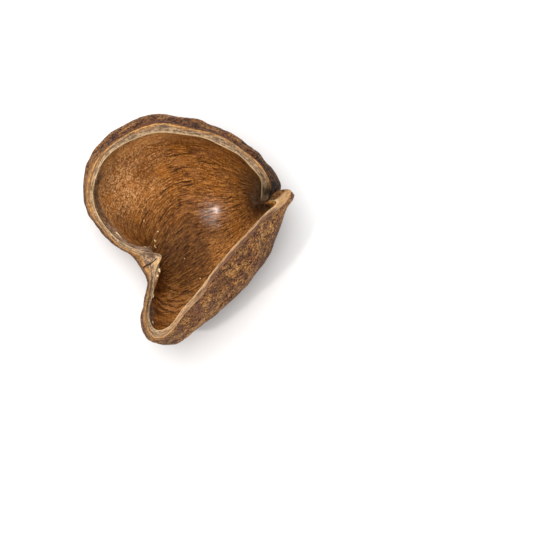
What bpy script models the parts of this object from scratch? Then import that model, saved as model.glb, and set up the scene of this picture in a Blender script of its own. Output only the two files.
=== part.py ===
"""Sterculia pod, split along its seam and opened like a shell, lying on the back of its husk.

The pod is one solid: a closed surface that starts in the middle of the lined hollow, climbs the inner
wall, crosses the rim and goes down the husk to the small flat spot that the pod rests on. Every column
of that surface hangs from one point of the rim. +Z is up, and the origin is the middle of the flat spot.
"""

import bmesh
import bpy
import numpy as np

MM = 0.001

# The pod's body, in millimetres.
WALL = 4.6  # woody wall, lining and husk together
SEAM_WALL = 3.0  # how much thicker the wall is below the two ends of the seam
SEAM_REACH = 9.0  # how far along the rim that thickening reaches
TIP_WALL = 3.2  # how much thicker again it is inside the crest at the stalk end
FLOOR = 5.2  # the wall above the flat spot
FOOT = 6.5  # radius of the flat spot
FOOT_CORE = 3.6  # radius of the triangle in the middle of the flat spot
HOLLOW_LIFT = 2.5  # how much higher the hollow's widest line lies than the husk's
STALK_CALM = 14.0  # how far along the rim the hollow is smoothed at the stalk end
SMOOTH_PASSES, SMOOTH_SHARE = 30, 0.8  # how often and how strongly it is smoothed there
SLANT_LEAST = 0.42  # the wall's thickness is measured squarely down to this cosine of the outline's slant
RIM_RIDGE = 0.5  # height of the ridge that runs along the rim's inner edge
RIM_GROOVE = 0.5  # depth of the groove beside it

# Curves of the wall's two faces, as shares of the fall from the rim to the widest ring.
HUSK_LEAN, LINING_LEAN = 0.45, 0.25  # how far sideways the face leans as it leaves the rim
EDGE_DROP = 0.33  # how far down it leaves the rim
WIDE_RISE = 0.5  # how long it stays upright above the widest ring
BACK_FULLNESS = 2.0  # power of the husk's curve below its widest ring: 1 is a cone, 2 an ellipse
LINING_FULLNESS = 1.75  # the same for the hollow
CALM_TURN = 0.33  # by this share of a half turn below that ring, the outline keeps only its slow waves
PLAIN_FROM, PLAIN_TURN = 0.1, 0.35  # from this share, and over that one, it becomes a plain oval
SMOOTH_HARMONICS = 3  # how many slow waves the outline keeps on the way

# Relief of the two faces of the wall, in millimetres: height, length from lump to lump, and seed.
HUSK_LUMP, HUSK_LUMP_LENGTH, HUSK_LUMP_SEED = 0.55, 15.0, 3
HUSK_WART, HUSK_WART_LENGTH, HUSK_WART_SEED = 0.32, 6.5, 4
LINING_FOLD, LINING_FOLD_WIDTH, LINING_FOLD_SEED = 0.22, 5.2, 5
WAVES = 14  # how many waves make the lumps
WAVE_SPREAD = (0.75, 1.3)  # how much shorter or longer than the length each one may be
WAVE_SUM = 5.3  # divides the sum of the waves, which then stays about within -1 to 1
FADE_ROWS = 3.0  # the relief fades over this many rows towards the rim and the middle

# How finely the surface is divided.
COLUMNS = 120
RIM_ROWS = 4
SIDE_ROWS = 7
BACK_ROWS = 11
# What the inner edge, the outer edge and the widest ring each say on how far apart two stations are.
SHARE_OF_RINGS = (0.2, 0.5, 0.3)

# The rim, walked anticlockwise as seen from above, starting in the notch at the stalk end. Each station
# gives the rim's inner edge, its outer edge, and the widest point of the husk below: x, y and z.
STATIONS = (
    ((29, 9, 27), (31.5, 10.5, 30), (35.5, 12.5, 19)),  # bottom of the notch at the stalk end
    ((29, 13.5, 31), (33, 13.5, 33), (37, 15.5, 22)),
    ((28.5, 18.5, 34.5), (32, 19, 36), (36, 20, 24)),
    ((24.5, 23.5, 36), (28, 25, 37), (32, 25.5, 26)),
    ((20, 28, 37), (22.5, 29.5, 38), (26, 31, 27)),
    ((13.5, 31.5, 37.5), (15.5, 34.5, 38.5), (18.5, 36.5, 27)),
    ((6, 35, 38), (8, 37.5, 39), (9, 41, 27)),
    ((-2, 36.5, 38), (-1, 39.5, 39), (-1, 44, 27)),
    ((-11.5, 37.5, 38), (-11.5, 41.5, 39), (-12, 45.5, 27)),  # top of the wide valve
    ((-20, 36, 38), (-22, 39, 39), (-24, 44, 27)),
    ((-29, 32, 37.5), (-31, 34, 38.5), (-34, 38, 26)),
    ((-35.5, 26.5, 37), (-38, 27.5, 38), (-41.5, 30.5, 26)),
    ((-39, 19.5, 36.5), (-42, 19.5, 37.5), (-44.5, 20, 25)),
    ((-40.5, 12, 36), (-43, 11.5, 37), (-45.5, 12, 25)),
    ((-38.5, 4, 35), (-41, 4, 36), (-43, 4, 24)),
    ((-33.5, -3.5, 33.5), (-35.5, -3.5, 34.5), (-37, -3.5, 23)),
    ((-27, -8.5, 32), (-28.5, -10, 33), (-30, -10.5, 22)),
    ((-19, -11.5, 30), (-23, -13, 31.5), (-24.5, -13.5, 20)),
    ((-12.5, -13, 27.5), (-20, -18, 29.5), (-21.5, -18, 18)),  # notch at the beak, with its spur
    ((-14.5, -18, 29.5), (-17.5, -21.5, 33), (-19, -22.5, 21)),
    ((-15.5, -27, 34.5), (-17.5, -27.5, 38), (-19, -28, 24)),
    ((-17, -34.5, 39), (-18.5, -34.5, 42), (-20.5, -35.5, 27)),
    ((-16.5, -40.5, 42), (-18, -41, 45), (-20.5, -42, 29)),
    ((-13.5, -43.5, 44), (-15, -46.5, 47.5), (-17.5, -48, 30)),  # end of the standing valve
    ((-9, -42, 47), (-9.5, -45.5, 50.5), (-10, -50, 29)),
    ((-4, -36, 51.5), (-2.5, -37.5, 55.5), (3.5, -42.5, 28)),
    ((2.5, -28.5, 56), (4.5, -30, 60), (13, -34.5, 26)),
    ((9.5, -19.5, 58.5), (11, -20.5, 62.5), (21.5, -26.5, 25)),  # middle of the standing valve
    ((17, -10.5, 58.5), (18.5, -11.5, 62.5), (27.5, -19, 25)),
    ((24, -3, 55.5), (26, -3.5, 59.5), (33, -10, 26)),
    ((31, 4.5, 50.5), (33, 3.5, 54), (37, -0.5, 27)),
    ((34, 7, 47), (38, 7.5, 49.5), (39.5, 6.5, 28)),
    ((35, 9, 44), (41, 13.5, 45.5), (42, 12, 31)),  # tip at the stalk end
    ((33, 9.5, 39.5), (37, 14, 43), (39, 11.5, 27)),
    ((30.5, 8.5, 33), (33.5, 12, 37), (36.5, 11.5, 22)),  # crest between the tip and the notch
)
STALK_NOTCH, BEAK_NOTCH = 0, 18  # the stations at the two ends of the seam
CREST = 33  # the station on the crest beside the stalk end's notch

HUSK_COLOUR = (0.23, 0.115, 0.045, 1.0)
HUSK_ROUGHNESS = 0.62
SHARP_ANGLE = 50  # degrees: edges that turn more than this aren't shaded smooth


def ease(x):
    """0 below 0, 1 above 1, and a smooth step between them."""
    x = np.clip(x, 0.0, 1.0)
    return x * x * (3.0 - 2.0 * x)


def closed_spline(knots, points, at):
    """A smooth closed curve through points, read at the parameters given.

    The slopes at the knots make the curve's bend continuous, which is one small set of equations, and
    each stretch is the cubic with those slopes at its ends.
    """
    count = len(points)
    span = np.diff(knots)
    before = np.roll(span, 1)
    step = np.roll(points, -1, axis=0) - points
    equations = np.zeros((count, count))
    index = np.arange(count)
    equations[index, index - 1] = 1.0 / before
    equations[index, index] = 2.0 / before + 2.0 / span
    equations[index, (index + 1) % count] = 1.0 / span
    pull = step / span[:, None] ** 2
    slopes = np.linalg.solve(equations, 3.0 * (pull + np.roll(pull, 1, axis=0)))
    i = np.clip(np.searchsorted(knots, at, side="right") - 1, 0, count - 1)
    s = ((at - knots[i]) / span[i])[:, None]
    h = span[i][:, None]
    j = (i + 1) % count
    return (
        (1 + 2 * s) * (1 - s) ** 2 * points[i]
        + s * (1 - s) ** 2 * h * slopes[i]
        + s**2 * (3 - 2 * s) * points[j]
        - s**2 * (1 - s) * h * slopes[j]
    )


def waves(points, length, seed):
    """Soft lumps of one size: the sum of waves that run in all directions, about -1 to 1."""
    draw = np.random.default_rng(seed)
    ways = draw.normal(size=(WAVES, 3))
    ways *= (2 * np.pi / length) / np.linalg.norm(ways, axis=1, keepdims=True)
    ways *= draw.uniform(*WAVE_SPREAD, size=(WAVES, 1))
    phases = draw.uniform(0, 2 * np.pi, WAVES)
    return np.sin(points @ ways.T + phases).sum(axis=-1) / WAVE_SUM


def low_harmonics(outline, most):
    """The outline with only its slow turns left: the first few terms of its Fourier series."""
    terms = np.fft.fft(outline[:, 0] + 1j * outline[:, 1])
    order = np.abs(np.fft.fftfreq(len(outline), 1.0 / len(outline)))
    slow = np.fft.ifft(np.where(order <= most, terms, 0))
    return np.stack((slow.real, slow.imag), axis=1)


def bezier(start, leave, arrive, end, t):
    """Cubic curves between two rings of points, as rows of t by columns of the rings."""
    t = t[:, None, None]
    return (
        (1 - t) ** 3 * start + 3 * t * (1 - t) ** 2 * leave + 3 * t**2 * (1 - t) * arrive + t**3 * end
    )


def wall_rows(edge, wide, middle, foot_height, lean, fullness):
    """One face of the wall, from the rim's edge down to the ring round its middle.

    Above the widest ring it is a cubic curve that arrives upright. Below, height and reach follow a
    quarter of a superellipse, while the outline lets go of its notches and becomes a plain oval.
    """
    rise = (edge[:, 2:] - wide[:, 2:]) * np.array((0.0, 0.0, 1.0))
    fall = wide - edge
    leave = edge + fall * np.array((lean, lean, EDGE_DROP))
    side = bezier(edge, leave, wide + WIDE_RISE * rise, wide, np.linspace(0, 1, SIDE_ROWS + 1))
    turn = np.linspace(0, 1, BACK_ROWS + 1)[1:, None] * np.pi / 2
    reach = np.cos(turn) ** (2 / fullness)
    height = 1 - np.sin(turn) ** (2 / fullness)
    calm = ease(turn / (CALM_TURN * np.pi))[..., None]
    plain = ease((turn - PLAIN_FROM * np.pi) / (PLAIN_TURN * np.pi))[..., None]
    outline = (1 - calm) * wide[:, :2] + calm * low_harmonics(wide, SMOOTH_HARMONICS)
    outline = (1 - plain) * outline + plain * low_harmonics(wide, 1)
    plan = middle + reach[..., None] * (outline - middle)
    z = foot_height + (wide[:, 2] - foot_height)[None] * height
    back = np.concatenate((plan, z[..., None]), axis=2)
    return np.concatenate((side, back))


def rim_rings():
    """The rim's inner edge, its outer edge and the husk's widest ring, with how far along each column is."""
    stations = np.array(STATIONS, dtype=float)
    nexts = np.roll(stations, -1, axis=0)
    steps = np.linalg.norm(nexts - stations, axis=2) @ np.array(SHARE_OF_RINGS)
    knots = np.concatenate(([0.0], np.cumsum(steps)))
    at = np.arange(COLUMNS) * knots[-1] / COLUMNS
    rings = closed_spline(knots, stations.reshape(len(stations), 9), at).reshape(COLUMNS, 3, 3)
    return rings[:, 0], rings[:, 1], rings[:, 2], at, knots


def near_station(at, knots, station, reach):
    """1 at a station of the rim, falling to 0 away from it along the rim."""
    away = np.abs(at - knots[station])
    away = np.minimum(away, knots[-1] - away)
    return np.exp(-((away / reach) ** 2))


def outward(plan):
    """Unit directions square to a closed outline, pointing out of it, and those from the middle."""
    along = np.roll(plan, -1, axis=0) - np.roll(plan, 1, axis=0)
    square = np.stack((along[:, 1], -along[:, 0]), axis=1)
    square /= np.linalg.norm(square, axis=1, keepdims=True)
    radial = plan / np.linalg.norm(plan, axis=1, keepdims=True)
    return square, radial


def hollow_wide_ring(husk, thick, calm):
    """The hollow's widest ring: the husk's moved towards the middle by the wall, measured squarely.

    Where calm is 1 the ring is smoothed, because the tip at the stalk end is solid.
    """
    square, radial = outward(husk[:, :2])
    facing = np.clip(np.sum(square * radial, axis=1), SLANT_LEAST, 1.0)
    step = thick / facing
    step = (np.roll(step, 1) + 2 * step + np.roll(step, -1)) / 4
    ring = husk.copy()
    ring[:, :2] -= radial * step[:, None]
    ring[:, 2] += HOLLOW_LIFT
    for _ in range(SMOOTH_PASSES):
        smooth = (np.roll(ring, 1, axis=0) + np.roll(ring, -1, axis=0)) / 2
        ring += SMOOTH_SHARE * calm[:, None] * (smooth - ring)
    return ring


def grid_normals(rows):
    """Unit directions out of the wall at each point of a face's rows."""
    across = np.roll(rows, -1, axis=1) - np.roll(rows, 1, axis=1)
    down = np.gradient(rows, axis=0)
    square = np.cross(down, across)
    return square / np.maximum(np.linalg.norm(square, axis=2, keepdims=True), 1e-9)


def pod_rows():
    """Every row of the pod's surface, from the middle of the hollow, over the rim, to the flat spot."""
    inner_edge, outer_edge, husk, at, knots = rim_rings()
    stalk = near_station(at, knots, STALK_NOTCH, SEAM_REACH)
    beak = near_station(at, knots, BEAK_NOTCH, SEAM_REACH)
    calm = near_station(at, knots, STALK_NOTCH, STALK_CALM)
    thick = WALL + SEAM_WALL * (stalk + beak) + TIP_WALL * near_station(at, knots, CREST, SEAM_REACH)
    hollow = hollow_wide_ring(husk, thick, calm)
    around = low_harmonics(husk, 1)
    middle = FOOT * around / np.linalg.norm(around, axis=1, keepdims=True)

    outside = wall_rows(outer_edge, husk, middle, 0.0, HUSK_LEAN, BACK_FULLNESS)
    inside = wall_rows(inner_edge, hollow, middle, FLOOR, LINING_LEAN, LINING_FULLNESS)

    row = np.arange(len(outside))
    fade = ease(row / FADE_ROWS)[:, None, None]
    flat = ease((row[-1] - row) / FADE_ROWS)[:, None, None]
    lumps = HUSK_LUMP * waves(outside, HUSK_LUMP_LENGTH, HUSK_LUMP_SEED)
    lumps += HUSK_WART * waves(outside, HUSK_WART_LENGTH, HUSK_WART_SEED)
    outside = outside + grid_normals(outside) * lumps[..., None] * fade * flat
    folds = LINING_FOLD * waves(inside, LINING_FOLD_WIDTH, LINING_FOLD_SEED)
    rough = (1 - calm)[:, None]
    inside = inside - grid_normals(inside) * folds[..., None] * fade * flat * rough

    across = np.linspace(0, 1, RIM_ROWS + 1)[1:-1, None, None]
    face = inner_edge + across * (outer_edge - inner_edge)
    face[0, :, 2] += RIM_RIDGE * (1 - calm)
    face[1, :, 2] -= RIM_GROOVE * (1 - calm)
    return np.concatenate((inside[::-1], face, outside))


def pod_mesh():
    """The closed mesh: quads between the rows, a fan in the hollow, and the flat spot round a triangle."""
    rows = pod_rows()
    count = len(rows)
    shape = bmesh.new()
    grid = [[shape.verts.new(point * MM) for point in row] for row in rows]
    for row in range(count - 1):
        for column in range(COLUMNS):
            after = (column + 1) % COLUMNS
            shape.faces.new(
                (grid[row][column], grid[row + 1][column], grid[row + 1][after], grid[row][after])
            )
    top = shape.verts.new(rows[0].mean(axis=0) * MM)
    for column in range(COLUMNS):
        shape.faces.new((top, grid[0][column], grid[0][(column + 1) % COLUMNS]))
    close_foot(shape, grid[-1], rows[-1])
    bmesh.ops.triangulate(shape, faces=shape.faces[:], quad_method="SHORT_EDGE")
    mesh = bpy.data.meshes.new("pod")
    shape.to_mesh(mesh)
    shape.free()
    return mesh


def close_foot(shape, ring, places):
    """The flat spot: a triangle in its middle, joined to the ring by thin triangles, all at z = 0."""
    angles = np.unwrap(np.arctan2(places[:, 1], places[:, 0]))
    start = angles[0]
    corners = [start + third * 2 * np.pi / 3 for third in range(3)]
    core = [
        shape.verts.new((FOOT_CORE * MM * np.cos(a), FOOT_CORE * MM * np.sin(a), 0.0)) for a in corners
    ]
    nearest = np.round((angles - start) / (2 * np.pi / 3)).astype(int) % 3
    for column in range(COLUMNS):
        after = (column + 1) % COLUMNS
        here, there = nearest[column], nearest[after]
        shape.faces.new((core[here], ring[after], ring[column]))
        if here != there:
            shape.faces.new((core[here], core[there], ring[after]))
    shape.faces.new((core[2], core[1], core[0]))


def woody_material():
    """Dry brown wood with a low sheen."""
    material = bpy.data.materials.new("dry_husk")
    material.use_nodes = True
    shader = material.node_tree.nodes["Principled BSDF"]
    shader.inputs["Base Color"].default_value = HUSK_COLOUR
    shader.inputs["Roughness"].default_value = HUSK_ROUGHNESS
    shader.inputs["Metallic"].default_value = 0.0
    return material


def main():
    for thing in list(bpy.data.objects):
        bpy.data.objects.remove(thing)
    mesh = pod_mesh()
    mesh.materials.append(woody_material())
    mesh.shade_smooth()
    mesh.set_sharp_from_angle(angle=np.radians(SHARP_ANGLE))
    pod = bpy.data.objects.new("pod", mesh)
    bpy.context.scene.collection.objects.link(pod)


main()
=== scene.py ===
# %% [markdown]
# # An opened sterculia pod, seen from straight above
#
# The pod is a woody seed case. When ripe it splits along one seam and opens like a shell, into a wide
# valve that lies flat and a narrower one that stands up beside it. Three surfaces make its look: a
# brown lining of fine fibres, a pale rim where the wood was torn along the seam, and a dark warty husk.
#
# The solid model gives the pod's size and main form. This lesson grows a much finer skin on the same
# lines, with numpy, and then finishes each of its three surfaces with procedural nodes.

# %% Load the solid model
import bpy
import numpy as np
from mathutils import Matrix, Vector


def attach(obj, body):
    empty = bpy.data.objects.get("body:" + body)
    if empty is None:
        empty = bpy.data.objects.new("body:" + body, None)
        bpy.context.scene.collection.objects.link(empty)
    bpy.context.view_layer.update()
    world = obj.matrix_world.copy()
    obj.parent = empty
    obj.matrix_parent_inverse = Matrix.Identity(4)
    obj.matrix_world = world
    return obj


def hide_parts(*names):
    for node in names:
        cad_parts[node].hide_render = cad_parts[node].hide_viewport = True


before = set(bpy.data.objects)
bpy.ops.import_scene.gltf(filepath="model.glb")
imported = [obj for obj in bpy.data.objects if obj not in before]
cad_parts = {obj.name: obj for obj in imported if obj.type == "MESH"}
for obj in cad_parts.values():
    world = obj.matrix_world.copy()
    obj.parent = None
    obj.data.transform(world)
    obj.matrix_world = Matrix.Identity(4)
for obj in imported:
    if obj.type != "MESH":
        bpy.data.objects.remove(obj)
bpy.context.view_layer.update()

MM = 0.001


def in_mm(corners):
    """Rows of lengths in metres, as rounded millimetres to print."""
    return [[round(c / MM, 1) for c in corner] for corner in corners]


def placed(name, data):
    """A new object at the origin, linked to the scene."""
    thing = bpy.data.objects.new(name, data)
    bpy.context.scene.collection.objects.link(thing)
    return thing


# %% [markdown]
# ## The camera
#
# The photograph was taken from straight above with a long lens, so every upright wall is seen almost on
# edge. A pixel is 0.43 mm wide on the table. The camera can't simply stand over the pod: the pod lies
# at the picture's upper left, and a lens shift would spoil the other views. So the camera hangs over the
# middle of the picture, which is beside the pod, and looks straight down.

# %% Hang the camera over the middle of the picture
PICTURE = 533  # pixels along each side
PIXEL = 0.43 * MM  # width of a pixel on the table
CAMERA_HEIGHT = 900 * MM
FOOT_PIXEL = (194.19, 225.70)  # where the middle of the pod's flat spot is in the picture
SENSOR = 36.0
NEAREST = 0.05  # metres in front of the camera

camera = bpy.data.cameras.new("camera")
camera.sensor_width = SENSOR
camera.lens = SENSOR * CAMERA_HEIGHT / (PICTURE * PIXEL)
camera.clip_start = NEAREST
camera_place = placed("camera", camera)
camera_place.location = (
    (PICTURE / 2 - FOOT_PIXEL[0]) * PIXEL,
    (FOOT_PIXEL[1] - PICTURE / 2) * PIXEL,
    CAMERA_HEIGHT,
)
bpy.context.scene.camera = camera_place
print("lens %.1f mm, camera at" % camera.lens, in_mm([camera_place.location]))

# %% [markdown]
# ## The rim, and the walls that hang from it
#
# Everything about the form follows from the rim. It is walked once round, through stations that give
# its inner edge, its outer edge and the widest point of the husk below. They are the same stations that
# the solid is made from. A smooth closed curve through them could be a NURBS object, but a spline solved
# in numpy gives back plain arrays, which is what the rest of the lesson works on.

# %% The rim's stations, in mm: inner edge, outer edge, widest point of the husk
STATIONS = (
    ((29, 9, 27), (31.5, 10.5, 30), (35.5, 12.5, 19)),  # bottom of the notch at the stalk end
    ((29, 13.5, 31), (33, 13.5, 33), (37, 15.5, 22)),
    ((28.5, 18.5, 34.5), (32, 19, 36), (36, 20, 24)),
    ((24.5, 23.5, 36), (28, 25, 37), (32, 25.5, 26)),
    ((20, 28, 37), (22.5, 29.5, 38), (26, 31, 27)),
    ((13.5, 31.5, 37.5), (15.5, 34.5, 38.5), (18.5, 36.5, 27)),
    ((6, 35, 38), (8, 37.5, 39), (9, 41, 27)),
    ((-2, 36.5, 38), (-1, 39.5, 39), (-1, 44, 27)),
    ((-11.5, 37.5, 38), (-11.5, 41.5, 39), (-12, 45.5, 27)),  # top of the wide valve
    ((-20, 36, 38), (-22, 39, 39), (-24, 44, 27)),
    ((-29, 32, 37.5), (-31, 34, 38.5), (-34, 38, 26)),
    ((-35.5, 26.5, 37), (-38, 27.5, 38), (-41.5, 30.5, 26)),
    ((-39, 19.5, 36.5), (-42, 19.5, 37.5), (-44.5, 20, 25)),
    ((-40.5, 12, 36), (-43, 11.5, 37), (-45.5, 12, 25)),
    ((-38.5, 4, 35), (-41, 4, 36), (-43, 4, 24)),
    ((-33.5, -3.5, 33.5), (-35.5, -3.5, 34.5), (-37, -3.5, 23)),
    ((-27, -8.5, 32), (-28.5, -10, 33), (-30, -10.5, 22)),
    ((-19, -11.5, 30), (-23, -13, 31.5), (-24.5, -13.5, 20)),
    ((-12.5, -13, 27.5), (-20, -18, 29.5), (-21.5, -18, 18)),  # notch at the beak, with its spur
    ((-14.5, -18, 29.5), (-17.5, -21.5, 33), (-19, -22.5, 21)),
    ((-15.5, -27, 34.5), (-17.5, -27.5, 38), (-19, -28, 24)),
    ((-17, -34.5, 39), (-18.5, -34.5, 42), (-20.5, -35.5, 27)),
    ((-16.5, -40.5, 42), (-18, -41, 45), (-20.5, -42, 29)),
    ((-13.5, -43.5, 44), (-15, -46.5, 47.5), (-17.5, -48, 30)),  # end of the standing valve
    ((-9, -42, 47), (-9.5, -45.5, 50.5), (-10, -50, 29)),
    ((-4, -36, 51.5), (-2.5, -37.5, 55.5), (3.5, -42.5, 28)),
    ((2.5, -28.5, 56), (4.5, -30, 60), (13, -34.5, 26)),
    ((9.5, -19.5, 58.5), (11, -20.5, 62.5), (21.5, -26.5, 25)),  # middle of the standing valve
    ((17, -10.5, 58.5), (18.5, -11.5, 62.5), (27.5, -19, 25)),
    ((24, -3, 55.5), (26, -3.5, 59.5), (33, -10, 26)),
    ((31, 4.5, 50.5), (33, 3.5, 54), (37, -0.5, 27)),
    ((34, 7, 47), (38, 7.5, 49.5), (39.5, 6.5, 28)),
    ((35, 9, 44), (41, 13.5, 45.5), (42, 12, 31)),  # tip at the stalk end
    ((33, 9.5, 39.5), (37, 14, 43), (39, 11.5, 27)),
    ((30.5, 8.5, 33), (33.5, 12, 37), (36.5, 11.5, 22)),  # crest between the tip and the notch
)
STALK_NOTCH, BEAK_NOTCH, CREST = 0, 18, 33
print(len(STATIONS), "stations")


# %% A smooth closed curve through any rows of points
def closed_spline(knots, points, at):
    """Cubic stretches h(s) between knots, with slopes m that make the bend continuous.

    The slopes solve m[i-1]/h[i-1] + 2 m[i] (1/h[i-1] + 1/h[i]) + m[i+1]/h[i] = 3 (pull[i-1] + pull[i]),
    where h is a stretch's length in knots and pull is its step over h squared.
    """
    count = len(points)
    span = np.diff(knots)
    before = np.roll(span, 1)
    index = np.arange(count)
    equations = np.zeros((count, count))
    equations[index, index - 1] = 1.0 / before
    equations[index, index] = 2.0 / before + 2.0 / span
    equations[index, (index + 1) % count] = 1.0 / span
    pull = (np.roll(points, -1, axis=0) - points) / span[:, None] ** 2
    slopes = np.linalg.solve(equations, 3.0 * (pull + np.roll(pull, 1, axis=0)))
    i = np.clip(np.searchsorted(knots, at, side="right") - 1, 0, count - 1)
    s = ((at - knots[i]) / span[i])[:, None]
    h = span[i][:, None]
    j = (i + 1) % count
    return (
        (1 + 2 * s) * (1 - s) ** 2 * points[i]
        + s * (1 - s) ** 2 * h * slopes[i]
        + s**2 * (3 - 2 * s) * points[j]
        - s**2 * (1 - s) * h * slopes[j]
    )


stations = np.array(STATIONS, dtype=float)
SHARE_OF_RINGS = (0.2, 0.5, 0.3)  # what each of the three rings says on how far apart two stations are
steps = np.linalg.norm(np.roll(stations, -1, axis=0) - stations, axis=2) @ np.array(SHARE_OF_RINGS)
knots = np.concatenate(([0.0], np.cumsum(steps)))
ROUND = knots[-1]


def rings_at(count):
    """The three rings, read at count evenly spaced places round the rim, and those places."""
    at = np.arange(count) * ROUND / count
    rings = closed_spline(knots, stations.reshape(len(stations), 9), at).reshape(count, 3, 3)
    return rings[:, 0], rings[:, 1], rings[:, 2], at


print("the rim is %.0f mm round" % ROUND)

# %% [markdown]
# ## The hollow's widest ring
#
# The wall is about 4.6 mm thick, thicker below the two ends of the seam and inside the crest. The
# hollow's widest ring is the husk's, moved in by that thickness. Near the stalk end the notch is so
# tight that the moved ring would cross itself, so it is smoothed there. This is done on the same 120
# columns as in the solid, and only then read more finely, so that both start from the same hollow.
#
# The picture shows the wide valve's lining bright right up to the rim. So along that valve most of the
# overhang, by which the hollow reaches out under the rim, is taken back from the skin.

# %% Move the husk's ring in by the wall
WALL, SEAM_WALL, TIP_WALL = 4.6, 3.0, 3.2
SEAM_REACH, STALK_CALM = 9.0, 14.0  # how far along the rim the thickening and the smoothing reach
HOLLOW_LIFT = 2.5
SOLID_COLUMNS, SMOOTH_PASSES, SMOOTH_SHARE, SLANT_LEAST = 120, 30, 0.8, 0.42
COLUMNS = 400


def ease(x):
    """0 below 0, 1 above 1, and 3x^2 - 2x^3 between them."""
    x = np.clip(x, 0.0, 1.0)
    return x * x * (3.0 - 2.0 * x)


def unit(way):
    """The vector, or each row of vectors, at length 1."""
    return way / np.maximum(np.linalg.norm(way, axis=-1, keepdims=True), 1e-9)


def bell(x, place, spread):
    """exp(-((x - place) / spread)^2)."""
    return np.exp(-(((x - place) / spread) ** 2))


def station_away(at, station):
    """The distance along the rim from a station, the shorter way round."""
    away = np.abs(at - knots[station])
    return np.minimum(away, ROUND - away)


def near_station(at, station, reach):
    """A bell round a station, along the rim."""
    return bell(station_away(at, station), 0, reach)


def hollow_ring():
    """The husk's ring moved in along its radii by thickness over slant, then smoothed at the stalk."""
    _, _, husk, at = rings_at(SOLID_COLUMNS)
    thick = WALL + SEAM_WALL * near_station(at, STALK_NOTCH, SEAM_REACH)
    thick += SEAM_WALL * near_station(at, BEAK_NOTCH, SEAM_REACH)
    thick += TIP_WALL * near_station(at, CREST, SEAM_REACH)
    calm = near_station(at, STALK_NOTCH, STALK_CALM)
    along = np.roll(husk, -1, axis=0) - np.roll(husk, 1, axis=0)
    square = np.stack((along[:, 1], -along[:, 0]), axis=1)
    square /= np.linalg.norm(square, axis=1, keepdims=True)
    radial = husk[:, :2] / np.linalg.norm(husk[:, :2], axis=1, keepdims=True)
    step = thick / np.clip(np.sum(square * radial, axis=1), SLANT_LEAST, 1.0)
    step = (np.roll(step, 1) + 2 * step + np.roll(step, -1)) / 4
    ring = husk.copy()
    ring[:, :2] -= radial * step[:, None]
    ring[:, 2] += HOLLOW_LIFT
    for _ in range(SMOOTH_PASSES):
        smooth = (np.roll(ring, 1, axis=0) + np.roll(ring, -1, axis=0)) / 2
        ring += SMOOTH_SHARE * calm[:, None] * (smooth - ring)
    fine = np.arange(COLUMNS) * SOLID_COLUMNS / COLUMNS
    return closed_spline(np.arange(SOLID_COLUMNS + 1.0), ring, fine)


inner_edge, outer_edge, husk_ring, at = rings_at(COLUMNS)
lining_ring = hollow_ring()
print("hollow %.0f x %.0f mm in the solid" % tuple(np.ptp(lining_ring[:, :2], axis=0)))

# %% Take back the overhang along the wide valve
LIP_TAKEN, LIP_STATIONS = 0.75, (1, 3, 12, 14)  # the share, and where it begins, is full, fades and ends

grows, full, fades, ends = knots[list(LIP_STATIONS)]
outwards = unit(inner_edge[:, :2])
overhang = np.maximum(np.sum((lining_ring[:, :2] - inner_edge[:, :2]) * outwards, axis=1), 0.0)
overhang *= ease((at - grows) / (full - grows)) * ease((ends - at) / (ends - fades))
lining_ring[:, :2] -= LIP_TAKEN * overhang[:, None] * outwards
print("hollow %.0f x %.0f mm in the skin" % tuple(np.ptp(lining_ring[:, :2], axis=0)))

# %% [markdown]
# ## The two faces of the wall
#
# Seen in section, each face falls from the rim in a cubic curve to its widest ring, and from there runs
# in to the middle as a quarter of a superellipse: an ellipse whose power sets how full it is. On the way
# the outline lets go of its notches. A Fourier series does that well, because dropping its higher terms
# leaves a rounder outline and never a kink.

# %% Curves of the lining and of the husk, in mm
FOOT, FLOOR = 6.5, 5.2  # radius of the flat spot, and thickness of the wall above it
HUSK_LEAN, LINING_LEAN, EDGE_DROP, WIDE_RISE = 0.45, 0.25, 0.33, 0.5
BACK_FULLNESS, LINING_FULLNESS = 2.0, 1.75
CALM_TURN, PLAIN_FROM, PLAIN_TURN, SMOOTH_HARMONICS = 0.33, 0.1, 0.35, 3
SIDE_ROWS, BACK_ROWS = 44, 58


def low_harmonics(outline, most):
    """The sum of the outline's Fourier terms up to one order."""
    terms = np.fft.fft(outline[:, 0] + 1j * outline[:, 1])
    order = np.abs(np.fft.fftfreq(len(outline), 1.0 / len(outline)))
    slow = np.fft.ifft(np.where(order <= most, terms, 0))
    return np.stack((slow.real, slow.imag), axis=1)


def wall_rows(edge, wide, middle, foot_height, lean, fullness):
    """Rows t of (1-t)^3 a + 3t(1-t)^2 b + 3t^2(1-t) c + t^3 d, then rows of cos^(2/n) and 1 - sin^(2/n)."""
    rise = (edge[:, 2:] - wide[:, 2:]) * np.array((0.0, 0.0, 1.0))
    leave = edge + (wide - edge) * np.array((lean, lean, EDGE_DROP))
    t = np.linspace(0, 1, SIDE_ROWS + 1)[:, None, None]
    side = (1 - t) ** 3 * edge + 3 * t * (1 - t) ** 2 * leave
    side = side + 3 * t**2 * (1 - t) * (wide + WIDE_RISE * rise) + t**3 * wide
    turn = np.linspace(0, 1, BACK_ROWS + 1)[1:, None] * np.pi / 2
    reach = np.cos(turn) ** (2 / fullness)
    height = 1 - np.sin(turn) ** (2 / fullness)
    calm = ease(turn / (CALM_TURN * np.pi))[..., None]
    plain = ease((turn - PLAIN_FROM * np.pi) / (PLAIN_TURN * np.pi))[..., None]
    outline = (1 - calm) * wide[:, :2] + calm * low_harmonics(wide, SMOOTH_HARMONICS)
    outline = (1 - plain) * outline + plain * low_harmonics(wide, 1)
    plan = middle + reach[..., None] * (outline - middle)
    z = foot_height + (wide[:, 2] - foot_height)[None] * height
    return np.concatenate((side, np.concatenate((plan, z[..., None]), axis=2)))


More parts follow.
